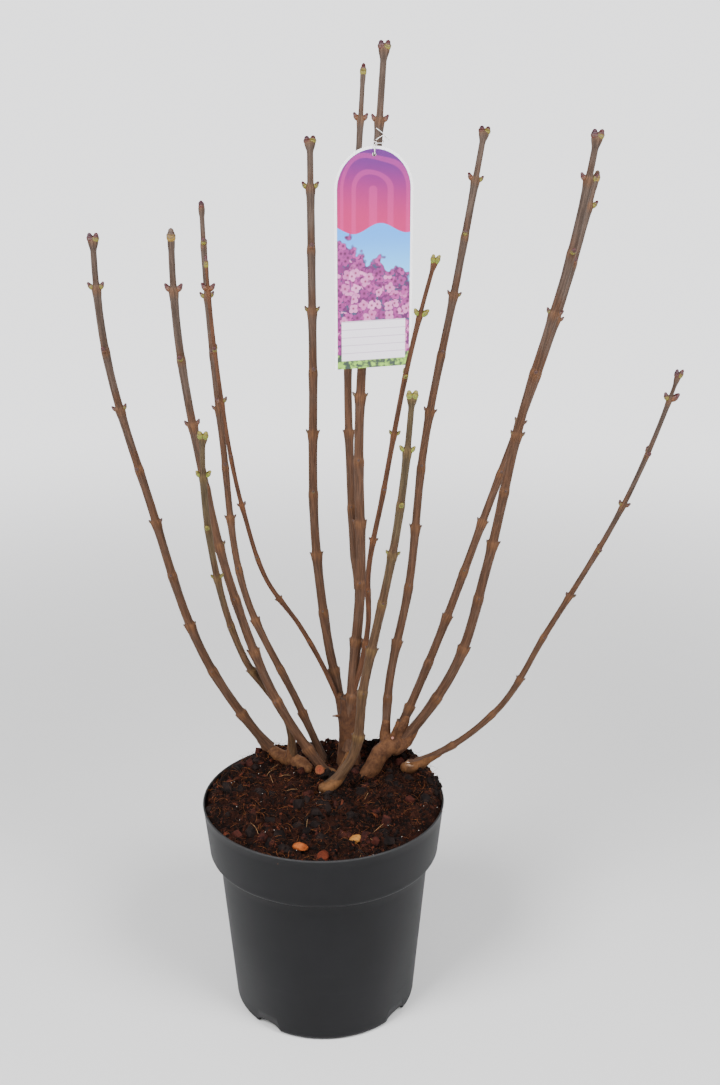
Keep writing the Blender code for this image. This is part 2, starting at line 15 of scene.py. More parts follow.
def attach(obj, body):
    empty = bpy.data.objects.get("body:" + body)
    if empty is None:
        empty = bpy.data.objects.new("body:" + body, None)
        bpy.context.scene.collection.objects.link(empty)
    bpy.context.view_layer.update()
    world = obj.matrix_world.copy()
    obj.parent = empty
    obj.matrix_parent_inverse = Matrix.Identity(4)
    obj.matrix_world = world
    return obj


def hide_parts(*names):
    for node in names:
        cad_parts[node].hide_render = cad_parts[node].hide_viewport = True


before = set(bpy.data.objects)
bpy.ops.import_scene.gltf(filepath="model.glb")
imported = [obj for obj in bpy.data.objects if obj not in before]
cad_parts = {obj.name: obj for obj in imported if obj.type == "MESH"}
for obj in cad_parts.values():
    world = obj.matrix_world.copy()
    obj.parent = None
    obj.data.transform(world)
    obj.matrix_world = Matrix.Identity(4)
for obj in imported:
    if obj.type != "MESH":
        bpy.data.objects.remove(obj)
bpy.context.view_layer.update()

# ==== the camera ============================================================================
# A 45 mm lens on a stand a little lower than the top of the plant, looking slightly down
# on it from the front, as a nursery's catalogue picture is taken.
CAMERA_PLACE = (0.0411, -1.3621, 1.0142)
CAMERA_DIP = 18.69                  # degrees below level
camera_data = bpy.data.cameras.new("camera")
camera_data.lens = 45.0
camera_data.sensor_width = 36.0
camera = bpy.data.objects.new("camera", camera_data)
camera.location = CAMERA_PLACE
camera.rotation_euler = (math.radians(90.0 - CAMERA_DIP), 0.0, 0.0)
bpy.context.scene.collection.objects.link(camera)
bpy.context.scene.camera = camera

# ==== the pot ===============================================================================
# A blow-moulded container pot of black polypropylene: a tapering body under a wide collar,
# a rounded foot with four low drain arches, and a thin rounded lip.
MM = 0.001
POT_STEPS = 144
POT_HEIGHT = 250 * MM
RIM_RADIUS = 136 * MM
COLLAR_HEIGHT = 62 * MM
COLLAR_FOOT_RADIUS = 130 * MM
COLLAR_ROUNDING = 7 * MM
COLLAR_UNDERCUT = COLLAR_ROUNDING * 0.6
BODY_TOP_RADIUS = 119.5 * MM
BODY_FOOT_RADIUS = 104 * MM
BASE_ROUNDING = 7 * MM
LIP_ROUNDING = 0.9 * MM
POT_WALL = 2.0 * MM
POT_FLOOR = 3.0 * MM
CORNER_HEIGHT = 17 * MM             # the wall is solid up to here behind the drain arches
CORNER_DEPTH = 17 * MM
DRAIN_COUNT = 4
DRAIN_FIRST_ANGLE = math.radians(52.5)
DRAIN_HALF_WIDTH = 17 * MM
DRAIN_HEIGHT = 11 * MM
DRAIN_DEPTH = 14 * MM


class Wire:
    """A socket in a node tree. Arithmetic on it adds Math nodes, whichever side it is on."""

    def __init__(self, tree, socket=None):
        self.tree = tree
        self.socket = socket

    def node(self, kind, settings=None, values=None, out=0):
        """Any node: its settings first, then the values or wires of its sockets."""
        made = self.tree.nodes.new(kind)
        for key, value in (settings or {}).items():
            setattr(made, key, value)
        for key, value in (values or {}).items():
            if isinstance(value, Wire):
                self.tree.links.new(value.socket, made.inputs[key])
            else:
                made.inputs[key].default_value = value
        return Wire(self.tree, made.outputs[out])

    def math(self, operation, first, second=0.0):
        return self.node("ShaderNodeMath", {"operation": operation}, {0: first, 1: second})

    def vector(self, operation, first, second=(0.0, 0.0, 0.0), out=0):
        """Vector Math on two vectors."""
        return self.node("ShaderNodeVectorMath", {"operation": operation},
                         {0: first, 1: second}, out)

    def ramp(self, low, high):
        """0 below low, 1 above high, smooth between them; high may be the lower one."""
        return self.node("ShaderNodeMapRange", {"interpolation_type": "SMOOTHSTEP"},
                         {"Value": self, "From Min": low, "From Max": high})

    def mix(self, first, second):
        """The colour first where this is 0, and second where it is 1."""
        first, second = (colour if isinstance(colour, Wire) else rgba(colour)
                         for colour in (first, second))
        return self.node("ShaderNodeMix", {"data_type": "RGBA"},
                         {0: self, 6: first, 7: second}, 2)

    def times(self, tint):
        """A colour multiplied by another."""
        return self.node("ShaderNodeMix", {"data_type": "RGBA", "blend_type": "MULTIPLY"},
                         {0: 1.0, 6: self, 7: tint}, 2)

    def attribute(self, name, out="Fac"):
        return self.node("ShaderNodeAttribute", {"attribute_name": name}, {}, out)

    def own_place(self):
        """Where a point lies on its own object."""
        return self.node("ShaderNodeTexCoord", {}, {}, "Object")

    def part(self, axis):
        """One part of a vector."""
        return self.node("ShaderNodeSeparateXYZ", {}, {0: self}, axis)

    def upward(self, across, up):
        """A vector whose first two parts are one value and whose third is another."""
        return self.node("ShaderNodeCombineXYZ", {}, {"X": across, "Y": across, "Z": up})

    def scaled(self, factor):
        """A vector times a number."""
        return self.node("ShaderNodeVectorMath", {"operation": "SCALE"},
                         {0: self, "Scale": factor})

    def noise(self, place, scale, detail=4.0, roughness=0.55):
        return self.node("ShaderNodeTexNoise", {}, {"Vector": place, "Scale": scale,
                                                    "Detail": detail, "Roughness": roughness})

    def stretched(self, place, across, along):
        """A place whose first two parts and third part are scaled apart."""
        return self.vector("MULTIPLY", place, (across, across, along))


# the signs + - * / and **, with the wire on either side of them
for symbol, operation in (("add", "ADD"), ("sub", "SUBTRACT"), ("mul", "MULTIPLY"),
                          ("truediv", "DIVIDE"), ("pow", "POWER")):
    setattr(Wire, "__%s__" % symbol,
            lambda self, other, kind=operation: self.math(kind, self, other))
    setattr(Wire, "__r%s__" % symbol,
            lambda self, other, kind=operation: self.math(kind, other, self))


def rgba(colour):
    return (*colour, 1.0)


def start_material(name, **uniform):
    """A material, a wire into its tree, and its shader, with the values that don't vary."""
    material = bpy.data.materials.new(name)
    material.use_nodes = True
    shader = material.node_tree.nodes["Principled BSDF"]
    for key, value in uniform.items():
        shader.inputs[key.replace("_", " ")].default_value = value
    return material, Wire(material.node_tree), shader


def feed(shader, socket, wire):
    wire.tree.links.new(wire.socket, shader.inputs[socket])


def feed_bump(shader, height, distance, strength=1.0):
    """Relief too fine to model: height times distance, in metres."""
    bump = height.node("ShaderNodeBump", {}, {"Height": height, "Distance": distance,
                                              "Strength": strength})
    feed(shader, "Normal", bump)


def link_object(name, mesh, material=None):
    obj = bpy.data.objects.new(name, mesh)
    bpy.context.scene.collection.objects.link(obj)
    if material:
        mesh.materials.append(material)
    return obj


def mesh_from(bm, name, sharp_degrees=40.0):
    """A smooth shaded mesh with its faces outwards; the bmesh is used up."""
    bmesh.ops.recalc_face_normals(bm, faces=bm.faces)
    mesh = bpy.data.meshes.new(name)
    bm.to_mesh(mesh)
    bm.free()
    mesh.shade_smooth()
    mesh.set_sharp_from_angle(angle=math.radians(sharp_degrees))
    return mesh


def bridge(bm, rings):
    """Faces between each closed ring of verts and the next."""
    for inner, outer in zip(rings, rings[1:]):
        for k in range(len(inner)):
            after = (k + 1) % len(inner)
            bm.faces.new((inner[k], outer[k], outer[after], inner[after]))


def carry(mesh, label, values):
    """Give each vert of a mesh its own number, vector or colour, under a name."""
    values = np.array([value if np.isscalar(value) else tuple(value) for value in values], float)
    kind, field = {1: ("FLOAT", "value"), 3: ("FLOAT_VECTOR", "vector"),
                   4: ("FLOAT_COLOR", "color")}[values.size // len(values)]
    mesh.attributes.new(label, kind, "POINT").data.foreach_set(field, values.ravel())


def fan(bm, centre, ring):
    """Faces from one vert to every side of a closed ring."""
    for k in range(len(ring)):
        bm.faces.new((centre, ring[k], ring[(k + 1) % len(ring)]))


def settle(obj):
    """Keep what the modifiers show as a plain mesh."""
    graph = bpy.context.evaluated_depsgraph_get()
    plain = bpy.data.meshes.new_from_object(obj.evaluated_get(graph),
                                            preserve_all_data_layers=True, depsgraph=graph)
    obj.modifiers.clear()
    obj.data = plain
    return obj


def body_radius(z):
    """Outer radius of the pot's tapering body at a height."""
    share = (z - BASE_ROUNDING) / (POT_HEIGHT - COLLAR_HEIGHT - BASE_ROUNDING)
    return BODY_FOOT_RADIUS + (BODY_TOP_RADIUS - BODY_FOOT_RADIUS) * share


def rounded_corner(start, corner, end, steps):
    """Points of a quarter-round from start to end, drawn towards the corner."""
    a, b, c = (np.array(point) for point in (start, corner, end))
    shares = np.linspace(0.0, 1.0, steps + 1)
    return [tuple((1 - t) ** 2 * a + 2 * t * (1 - t) * b + t ** 2 * c) for t in shares]


def corner_inside():
    """(radius, height) down the inside of the pot's bottom corner."""
    foot = BODY_FOOT_RADIUS
    return [(body_radius(CORNER_HEIGHT) - POT_WALL, CORNER_HEIGHT),
            (foot - CORNER_DEPTH, CORNER_HEIGHT - 2 * MM),
            (foot - CORNER_DEPTH * 1.4, POT_FLOOR)]


def pot_profile():
    """(radius, height) of the whole wall, from the underside round the lip to the floor."""
    step = POT_HEIGHT - COLLAR_HEIGHT
    foot = BODY_FOOT_RADIUS
    base = rounded_corner((foot - BASE_ROUNDING, 0.0), (foot, 0.0), (foot, BASE_ROUNDING), 9)
    body = [(body_radius(z), z) for z in np.linspace(BASE_ROUNDING, step - 1.5 * MM, 14)[1:]]
    under = [(body_radius(step) + 0.6 * MM, step - 0.3 * MM)]
    collar = rounded_corner((COLLAR_FOOT_RADIUS - COLLAR_ROUNDING, step),
                            (COLLAR_FOOT_RADIUS, step),
                            (COLLAR_FOOT_RADIUS, step + COLLAR_ROUNDING), 8)
    wall = [(COLLAR_FOOT_RADIUS + (RIM_RADIUS - 0.5 * MM - COLLAR_FOOT_RADIUS) * share,
             step + COLLAR_ROUNDING + (COLLAR_HEIGHT - COLLAR_ROUNDING - 2.5 * MM) * share)
            for share in np.linspace(0.0, 1.0, 7)[1:]]
    bead = [(RIM_RADIUS, POT_HEIGHT - 1.5 * MM)]
    lip = rounded_corner((RIM_RADIUS, POT_HEIGHT - LIP_ROUNDING), (RIM_RADIUS, POT_HEIGHT),
                         (RIM_RADIUS - POT_WALL * 0.45, POT_HEIGHT), 3)
    lip += rounded_corner((RIM_RADIUS - POT_WALL * 0.55, POT_HEIGHT),
                          (RIM_RADIUS - POT_WALL, POT_HEIGHT),
                          (RIM_RADIUS - POT_WALL, POT_HEIGHT - LIP_ROUNDING), 3)
    inside = [(COLLAR_FOOT_RADIUS - POT_WALL, step + COLLAR_ROUNDING),
              (COLLAR_FOOT_RADIUS - POT_WALL - COLLAR_UNDERCUT, step + POT_WALL),
              (body_radius(step) - POT_WALL, step - 1 * MM)] + corner_inside()
    return base + body + under + collar + wall + bead + lip + inside


def turned(profile, steps):
    """Spin an open profile that starts and ends on the axis into a closed shell."""
    bm = bmesh.new()
    verts = [bm.verts.new((radius, 0.0, z)) for radius, z in profile]
    edges = [bm.edges.new(pair) for pair in zip(verts, verts[1:])]
    bmesh.ops.spin(bm, geom=verts + edges, cent=(0, 0, 0), axis=(0, 0, 1),
                   angle=math.tau, steps=steps)
    bmesh.ops.remove_doubles(bm, verts=bm.verts, dist=0.01 * MM)
    return bm


def drain_arches():
    """The solid that is cut out of the pot's bottom corner."""
    bm = bmesh.new()
    clear = 4 * MM
    outer = BODY_FOOT_RADIUS + clear
    arc = [(math.cos(a), math.sin(a) ** 0.7) for a in np.linspace(0.0, math.pi, 15)]
    arch = [(DRAIN_HALF_WIDTH, -clear)]
    arch += [(DRAIN_HALF_WIDTH * x, DRAIN_HEIGHT * max(0.0, z)) for x, z in arc]
    arch += [(-DRAIN_HALF_WIDTH, -clear)]
    for index in range(DRAIN_COUNT):
        angle = DRAIN_FIRST_ANGLE + index * math.tau / DRAIN_COUNT
        outward = Vector((math.sin(angle), -math.cos(angle), 0.0))
        along = Vector((math.cos(angle), math.sin(angle), 0.0))
        near = [outward * (outer - DRAIN_DEPTH) + along * x + Vector((0, 0, z))
                for x, z in arch]
        face = bm.faces.new([bm.verts.new(point) for point in near])
        grown = bmesh.ops.extrude_face_region(bm, geom=[face])
        moved = [item for item in grown["geom"] if isinstance(item, bmesh.types.BMVert)]
        bmesh.ops.translate(bm, verts=moved, vec=outward * (DRAIN_DEPTH + clear))
    return mesh_from(bm, "drain_arches")


pot_plastic, wire, shader = start_material("pot_plastic", Specular_IOR_Level=0.17)
place = wire.own_place()
height = place.part("Z")
front = place.part("Y")
cloud = wire.noise(place, 14.0, 5.0)
rubbed = wire.noise(wire.stretched(place, 22.0, 170.0), 1.0, 5.0, 0.7)
low_front = height.ramp(0.12, 0.05) * front.ramp(-0.04, -0.09)
scuffed = rubbed.ramp(0.56, 0.74) * (0.25 + 0.75 * low_front) * cloud.ramp(0.42, 0.6)
# the top of the lip is painted paler grey: a painted highlight along the rim, with some wear
lip_highlight_and_wear = height.ramp(POT_HEIGHT - 2.6 * MM, POT_HEIGHT - 0.6 * MM)
grit = wire.noise(place, 900.0, 2.0)
plain_black = cloud.ramp(0.3, 0.7).mix((0.0034, 0.0035, 0.0043),
                                       (0.0050, 0.0051, 0.0062))
rubbed_black = (scuffed * 0.8).mix(plain_black, (0.0115, 0.0118, 0.0130))
black_with_lip_highlight = (lip_highlight_and_wear * 0.6).mix(rubbed_black, (0.040, 0.040, 0.041))
feed(shader, "Base Color", black_with_lip_highlight)
feed(shader, "Roughness", 0.44 + 0.10 * cloud + 0.12 * scuffed - 0.08 * low_front)
feed_bump(shader, grit * 0.25 + rubbed * 0.5, 0.08 * MM)

pot = link_object("pot_moulding",
                  mesh_from(turned([(0.0, 0.0)] + pot_profile() + [(0.0, POT_FLOOR)],
                                   POT_STEPS), "pot_moulding", 30.0), pot_plastic)
arches = link_object("drain_arches", drain_arches())
cut = pot.modifiers.new("drains", "BOOLEAN")
cut.operation = "DIFFERENCE"
cut.solver = "EXACT"
cut.object = arches
settle(pot)
bpy.data.objects.remove(arches)
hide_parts("pot")
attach(pot, "root")

# ==== the soil ==============================================================================
# Peat-based compost, filled to just under the lip in front and heaped to the foot of the
# plant behind, where the old root ball stands ragged above the lip.
GAP = 0.3 * MM
SOIL_EDGE = 245.5 * MM
GROUND = 260 * MM
MOUND_FRONT = -105 * MM
MOUND_LEVEL = -15 * MM
MOUND_SHOULDER = 15 * MM
SOIL_RINGS = 70
SOIL_SPOKES = 240
CLOD_RELIEF = 9.0 * MM
CRUMB_RELIEF = 3.0 * MM
BALL_RISE = 14 * MM                 # how far the old root ball stands over the lip
LITTER_BED = 1 * MM                 # room left for the loose litter on top
# hollows scooped out round the old wood: x, y, depth and reach in mm
HOLLOWS = [(102, 36, 7, 26), (14, 22, 6, 20), (8, 62, 6, 26), (-14, 34, 6, 18),
           (52, 26, 5, 22), (-34, 44, 4, 18), (6, 106, 7, 40)]


def smooth(share):
    share = min(1.0, max(0.0, share))
    return share * share * (3 - 2 * share)


def soil_wall_radius():
    """Radius of the soil where its top meets the pot wall."""
    step = POT_HEIGHT - COLLAR_HEIGHT + COLLAR_ROUNDING
    share = (SOIL_EDGE - step) / (POT_HEIGHT - step)
    inner = COLLAR_FOOT_RADIUS + (RIM_RADIUS - COLLAR_FOOT_RADIUS) * share
    return inner - POT_WALL - GAP * 2


def old_ball(x, y):
    """1 on the ragged edge of the old root ball, behind and to the right, fading to 0."""
    around = math.degrees(math.atan2(y, x))
    sector = smooth((around + 14) / 18) * smooth((84 - around) / 22)
    radius = math.hypot(x, y)
    return sector * smooth((radius - 108 * MM) / (14 * MM)) \
        * smooth((soil_wall_radius() + 1.5 * MM - radius) / (3 * MM))


def soil_top(x, y):
    """Height of the compost with its clods and crumbs."""
    wall = soil_wall_radius() - math.hypot(x, y)
    back = smooth((y - MOUND_FRONT) / (MOUND_LEVEL - MOUND_FRONT))
    level = SOIL_EDGE + (GROUND - SOIL_EDGE) * back * smooth(wall / MOUND_SHOULDER)
    place = Vector((x, y, 0.0))
    clods = noise.fractal(place * 45.0, 0.9, 2.1, 4)
    crumbs = noise.fractal(place * 240.0 + Vector((7, 3, 1)), 0.8, 2.0, 4)
    hold = 0.35 + 0.65 * smooth(wall / (12 * MM))
    ball = BALL_RISE * old_ball(x, y) * (0.75 + 0.6 * noise.noise(place * 70.0))
    scooped = sum(depth * smooth(1.0 - math.dist((x / MM, y / MM), (at_x, at_y)) / reach)
                  for at_x, at_y, depth, reach in HOLLOWS) * MM
    return level - scooped + (CLOD_RELIEF * clods + CRUMB_RELIEF * crumbs) * hold + ball \
        - LITTER_BED


def soil_sides():
    """The part of the compost that touches the pot, 0.3 mm clear of it."""
    step = POT_HEIGHT - COLLAR_HEIGHT
    return [(COLLAR_FOOT_RADIUS - POT_WALL - GAP, step + COLLAR_ROUNDING),
            (COLLAR_FOOT_RADIUS - POT_WALL - COLLAR_UNDERCUT - GAP, step + POT_WALL),
            (body_radius(step) - POT_WALL - GAP, step - 1 * MM)] \
        + [(radius - GAP, height + GAP) for radius, height in corner_inside()]


def soil_mesh():
    """The closed body of compost, and the number of its verts that are its top."""
    bm = bmesh.new()
    wall = soil_wall_radius()
    rings = []
    for ring in range(1, SOIL_RINGS + 1):
        radius = wall * (ring / SOIL_RINGS) ** 0.8
        row = []
        for spoke in range(SOIL_SPOKES):
            angle = math.tau * spoke / SOIL_SPOKES
            x, y = radius * math.cos(angle), radius * math.sin(angle)
            row.append(bm.verts.new((x, y, soil_top(x, y))))
        rings.append(row)
    top_count = len(rings) * SOIL_SPOKES
    for radius, z in soil_sides():
        rings.append([bm.verts.new((radius * math.cos(math.tau * s / SOIL_SPOKES),
                                    radius * math.sin(math.tau * s / SOIL_SPOKES), z))
                      for s in range(SOIL_SPOKES)])
    bridge(bm, rings)
    centre = bm.verts.new((0, 0, soil_top(0, 0)))
    under = bm.verts.new((0, 0, POT_FLOOR + GAP))
    fan(bm, centre, rings[0])
    fan(bm, under, rings[-1])
    return mesh_from(bm, "compost", 180.0), top_count


compost, wire, shader = start_material("compost", Specular_IOR_Level=0.10)
place = wire.own_place()
patches = wire.noise(place, 38.0, 6.0, 0.65)
grains = wire.noise(place, 420.0, 4.0, 0.7)
flecks = wire.noise(place, 150.0, 5.0, 0.75)
damp = patches.ramp(0.38, 0.62).mix((0.0026, 0.0011, 0.0009), (0.0165, 0.0048, 0.0026))
peaty = (grains.ramp(0.52, 0.72) * 0.6).mix(damp, (0.042, 0.0135, 0.0070))
rusty = (flecks.ramp(0.60, 0.70) * 0.6).mix(peaty, (0.085, 0.025, 0.011))
feed(shader, "Base Color", rusty)
feed(shader, "Roughness", 0.86 + 0.1 * grains)
feed_bump(shader, grains + flecks * 1.5, 1.1 * MM)

top_mesh, top_verts = soil_mesh()
soil = link_object("compost_heap", top_mesh, compost)
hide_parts("soil")
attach(soil, "root")

# ==== what lies on the soil =================================================================
# Crumbs of peat, coir fibres and root hairs, chips of composted bark, grains of perlite,
# and a few straws, all loose on the compost and pressed a little way into it.
FIBRE_SEGMENTS = 9


def geometry_tree(name, inputs):
    """A new tree: a geometry in and out, and named inputs given as (name, type, default)."""
    tree = bpy.data.node_groups.new(name, "GeometryNodeTree")
    tree.interface.new_socket("Geometry", in_out="INPUT", socket_type="NodeSocketGeometry")
    for label, kind, default in inputs:
        socket = tree.interface.new_socket(label, in_out="INPUT",
                                           socket_type="NodeSocket" + kind)
        if default is not None:
            socket.default_value = default
    tree.interface.new_socket("Geometry", in_out="OUTPUT", socket_type="NodeSocketGeometry")
    entry = tree.nodes.new("NodeGroupInput")
    return tree, {socket.name: Wire(tree, socket) for socket in entry.outputs if socket.name}


def named(entry, name, kind="FLOAT"):
    """A number or a vector that the mesh carries."""
    return entry.node("GeometryNodeInputNamedAttribute", {"data_type": kind}, {"Name": name})


def close_tree(tree, geometry, finish):
    """Turn every copy into plain mesh, give it its finish, and send it out."""
    plain = geometry.node("GeometryNodeRealizeInstances", {}, {"Geometry": geometry})
    finished = geometry.node("GeometryNodeSetMaterial", {},
                             {"Geometry": plain, "Material": finish})
    end = tree.nodes.new("NodeGroupOutput")
    tree.links.new(finished.socket, end.inputs[0])


def run_tree(name, mesh, tree, **values):
    """Run a tree on a mesh, and keep the plain mesh that comes out as one object."""
    obj = link_object(name, mesh)
    modifier = obj.modifiers.new(tree.name, "NODES")
    modifier.node_group = tree
    for item in tree.interface.items_tree:
        key = item.name.replace(" ", "_")
        if item.in_out == "INPUT" and key in values:
            modifier[item.identifier] = values[key]
    obj.update_tag()
    return settle(obj)


def litter_tree():
    """Strews turned and scaled copies of one piece over a surface."""
    tree, given = geometry_tree("litter", [
        ("Piece", "Object", None), ("Density", "Float", 1000.0), ("Smallest", "Float", 0.5),
        ("Largest", "Float", 1.0), ("Tilt", "Float", 0.4), ("Sink", "Float", 0.0),
        ("Seed", "Int", 0), ("Finish", "Material", None)])
    entry = given["Geometry"]
    spots = entry.node("GeometryNodeDistributePointsOnFaces", {},
                       {"Mesh": entry, "Density": given["Density"] * named(entry, "litter"),
                        "Seed": given["Seed"]}, "Points")
    low = entry.upward(0 - given["Tilt"], 0.0)
    high = entry.upward(given["Tilt"], math.tau)
    turn = entry.node("FunctionNodeRandomValue", {"data_type": "FLOAT_VECTOR"},
                      {0: low, 1: high, "Seed": given["Seed"] + 1})
    size = entry.node("FunctionNodeRandomValue", {"data_type": "FLOAT"},
                      {2: given["Smallest"], 3: given["Largest"], "Seed": given["Seed"] + 2},
                      1)
    sunk = entry.upward(0.0, 0 - given["Sink"])
    lowered = entry.node("GeometryNodeSetPosition", {}, {"Geometry": spots, "Offset": sunk})
    piece = entry.node("GeometryNodeObjectInfo", {}, {"Object": given["Piece"]}, "Geometry")
    strewn = entry.node("GeometryNodeInstanceOnPoints", {},
                        {"Points": lowered, "Instance": piece, "Rotation": turn,
                         "Scale": size})
    close_tree(tree, strewn, given["Finish"])
    return tree


def lump(name, seed, flat, jag, detail=1):
    """A crumb or chip about one unit long: a rough many-sided pebble."""
    draw = random.Random(seed)
    bm = bmesh.new()
    bmesh.ops.create_icosphere(bm, subdivisions=detail, radius=0.5)
    for vert in bm.verts:
        vert.co *= 1.0 + draw.uniform(-jag, jag)
        vert.co = Vector((vert.co.x, vert.co.y * draw.uniform(0.6, 0.75), vert.co.z * flat))
    mesh = mesh_from(bm, name, 50.0)
    mesh.shade_flat()
    obj = link_object(name, mesh)
    obj.hide_render = True
    return obj


def fibre(name, seed, thick, curl):
    """A curled thread about one unit long, three-sided, tapering to both ends."""
    draw = random.Random(seed)
    bm = bmesh.new()
    heading = 0.0
    lift = draw.uniform(0.1, 0.45)
    place = Vector((-0.5, 0.0, 0.0))
    rings = []
    for step in range(FIBRE_SEGMENTS + 1):
        share = step / FIBRE_SEGMENTS
        around = thick * (0.35 + 0.65 * math.sin(math.pi * share))
        across = Vector((-math.sin(heading), math.cos(heading), 0.0))
        up = Vector((0, 0, 1))
        rings.append([bm.verts.new(place + across * around * math.cos(math.tau * k / 3)
                                   + up * around * math.sin(math.tau * k / 3))
                      for k in range(3)])
        heading += draw.uniform(-curl, curl) + curl * 0.35
        climb = lift * math.cos(math.pi * share)
        place = place + Vector((math.cos(heading), math.sin(heading), climb)) \
            * (1 / FIBRE_SEGMENTS)
    bridge(bm, rings)
    bm.faces.new(rings[0])
    bm.faces.new(list(reversed(rings[-1])))
    obj = link_object(name, mesh_from(bm, name, 180.0))
    obj.hide_render = True
    return obj


def matt(name, dark, light, grain, rough=0.9, sheen_off=0.10):
    """A dull finish that wanders between two colours."""
    material, wire, shader = start_material(name, Specular_IOR_Level=sheen_off)
    place = wire.own_place()
    coarse = wire.noise(place, grain, 4.0, 0.6)
    fine = wire.noise(place, grain * 6.0, 3.0, 0.6)
    feed(shader, "Base Color", (coarse * 0.7 + fine * 0.3).ramp(0.36, 0.64)
         .mix(dark, light))
    feed(shader, "Roughness", rough - 0.15 * fine)
    feed_bump(shader, fine, 0.15 * MM)
    return material


def soil_patch(name, share_of):
    """The compost's top alone, with how much litter lies on it from place to place."""
    bm = bmesh.new()
    bm.from_mesh(top_mesh)
    bm.verts.ensure_lookup_table()
    centre = top_verts + SOIL_SPOKES * len(soil_sides())
    kept = set(range(top_verts)) | {centre}
    bmesh.ops.delete(bm, geom=[v for v in bm.verts if v.index not in kept], context="VERTS")
    mesh = bpy.data.meshes.new(name)
    bm.to_mesh(mesh)
    bm.free()
    carry(mesh, "litter", [share_of(v.co.x, v.co.y) for v in mesh.vertices])
    return mesh


def everywhere(x, y):
    """All over, but for the saw cut of the outer stump."""
    off_cut = smooth((math.dist((x / MM, y / MM), (100, 46)) - 9) / 5)
    return off_cut * smooth((soil_wall_radius() - 2.5 * MM - math.hypot(x, y)) / (3 * MM))


def drifts(x, y):
    """Lighter litter lies in drifts, with little of it on the old root ball."""
    wanders = 0.5 + 0.9 * noise.noise(Vector((x, y, 0.3)) * 30.0)
    return everywhere(x, y) * max(0.05, wanders) * (1.0 - 0.75 * old_ball(x, y))


litter = litter_tree()
LITTER_TONES = {
    "peat": matt("peat_crumb", (0.0045, 0.0017, 0.0012), (0.034, 0.0095, 0.0048), 300.0),
    "dark": matt("wet_crumb", (0.0018, 0.0010, 0.0009), (0.0075, 0.0036, 0.0028), 300.0),
    "rust": matt("bark_crumb", (0.034, 0.0080, 0.0046), (0.105, 0.027, 0.0130), 260.0),
    "lump": matt("bark_lump", (0.010, 0.0040, 0.0036), (0.052, 0.0135, 0.0092), 120.0),
    "slate": matt("wet_lump", (0.0035, 0.0024, 0.0024), (0.0140, 0.0085, 0.0074), 120.0),
    "coir": matt("coir_fibre", (0.095, 0.028, 0.0075), (0.30, 0.105, 0.033), 300.0, 0.7),
    "pale": matt("straw_fibre", (0.22, 0.115, 0.048), (0.42, 0.26, 0.135), 300.0, 0.65),
    "root": matt("root_hair", (0.030, 0.0110, 0.0050), (0.105, 0.038, 0.0155), 300.0, 0.75),
    "white": matt("perlite", (0.50, 0.48, 0.44), (0.66, 0.63, 0.58), 400.0, 0.8),
}
crumbs = [lump("crumb_%d" % k, 31 + k, 0.75, 0.22) for k in range(3)]
flakes = [lump("flake_%d" % k, 41 + k, 0.28, 0.3) for k in range(2)]
threads = [fibre("thread_%d" % k, 51 + k, 0.0105, 0.16 + 0.12 * k) for k in range(3)]
straw = fibre("straw_length", 61, 0.016, 0.05)
hair = fibre("hair_length", 63, 0.008, 0.28)
# name, piece, pieces per square metre, smallest and largest in mm, tilt, sunk in mm, where, tone
LITTER = [
    ("crumbs_fine", crumbs[0], 60000, 1.2, 3.6, 3.1, 0.2, everywhere, "peat"),
    ("crumbs_dark", crumbs[1], 34000, 2.0, 6.5, 3.1, 0.3, everywhere, "dark"),
    ("crumbs_coarse", crumbs[2], 7000, 3.5, 9.5, 3.1, 0.8, everywhere, "peat"),
    ("bark_lumps", crumbs[1], 1500, 8.0, 20.0, 3.1, 2.0, drifts, "lump"),
    ("wet_lumps", crumbs[2], 1300, 10.0, 22.0, 3.1, 2.5, everywhere, "slate"),
    ("bark_fine", flakes[0], 13000, 1.8, 5.0, 1.2, 0.2, drifts, "rust"),
    ("bark_coarse", flakes[1], 1100, 6.0, 12.0, 0.9, 0.4, drifts, "rust"),
    ("coir_short", threads[0], 24000, 4.0, 10.0, 0.9, -0.2, drifts, "coir"),
    ("coir_long", threads[1], 6500, 9.0, 20.0, 0.7, -0.5, drifts, "coir"),
    ("coir_brown", threads[2], 20000, 6.0, 16.0, 0.9, -0.3, everywhere, "root"),
    ("straws", straw, 480, 8.0, 20.0, 0.5, -0.6, drifts, "pale"),
    ("perlite_grains", crumbs[1], 700, 0.7, 1.6, 3.1, -0.4, everywhere, "white"),
    ("ball_clods", crumbs[2], 30000, 4.0, 12.0, 3.1, 0.0, old_ball, "dark"),
    ("ball_crumbs", crumbs[0], 60000, 2.0, 6.0, 3.1, -0.4, old_ball, "peat"),
    ("ball_roots", hair, 20000, 7.0, 20.0, 1.4, -1.0, old_ball, "root"),
]
for number, (name, piece, density, small, large, tilt, sink, where, tone) in enumerate(LITTER):
    strewn = run_tree(name, soil_patch(name, where), litter, Piece=piece,
                      Density=float(density), Smallest=small * MM, Largest=large * MM,
                      Tilt=tilt, Sink=sink * MM, Seed=100 + 7 * number,
                      Finish=LITTER_TONES[tone])
    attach(strewn, "root")
for shape in crumbs + flakes + threads + [straw, hair]:
    bpy.data.objects.remove(shape)

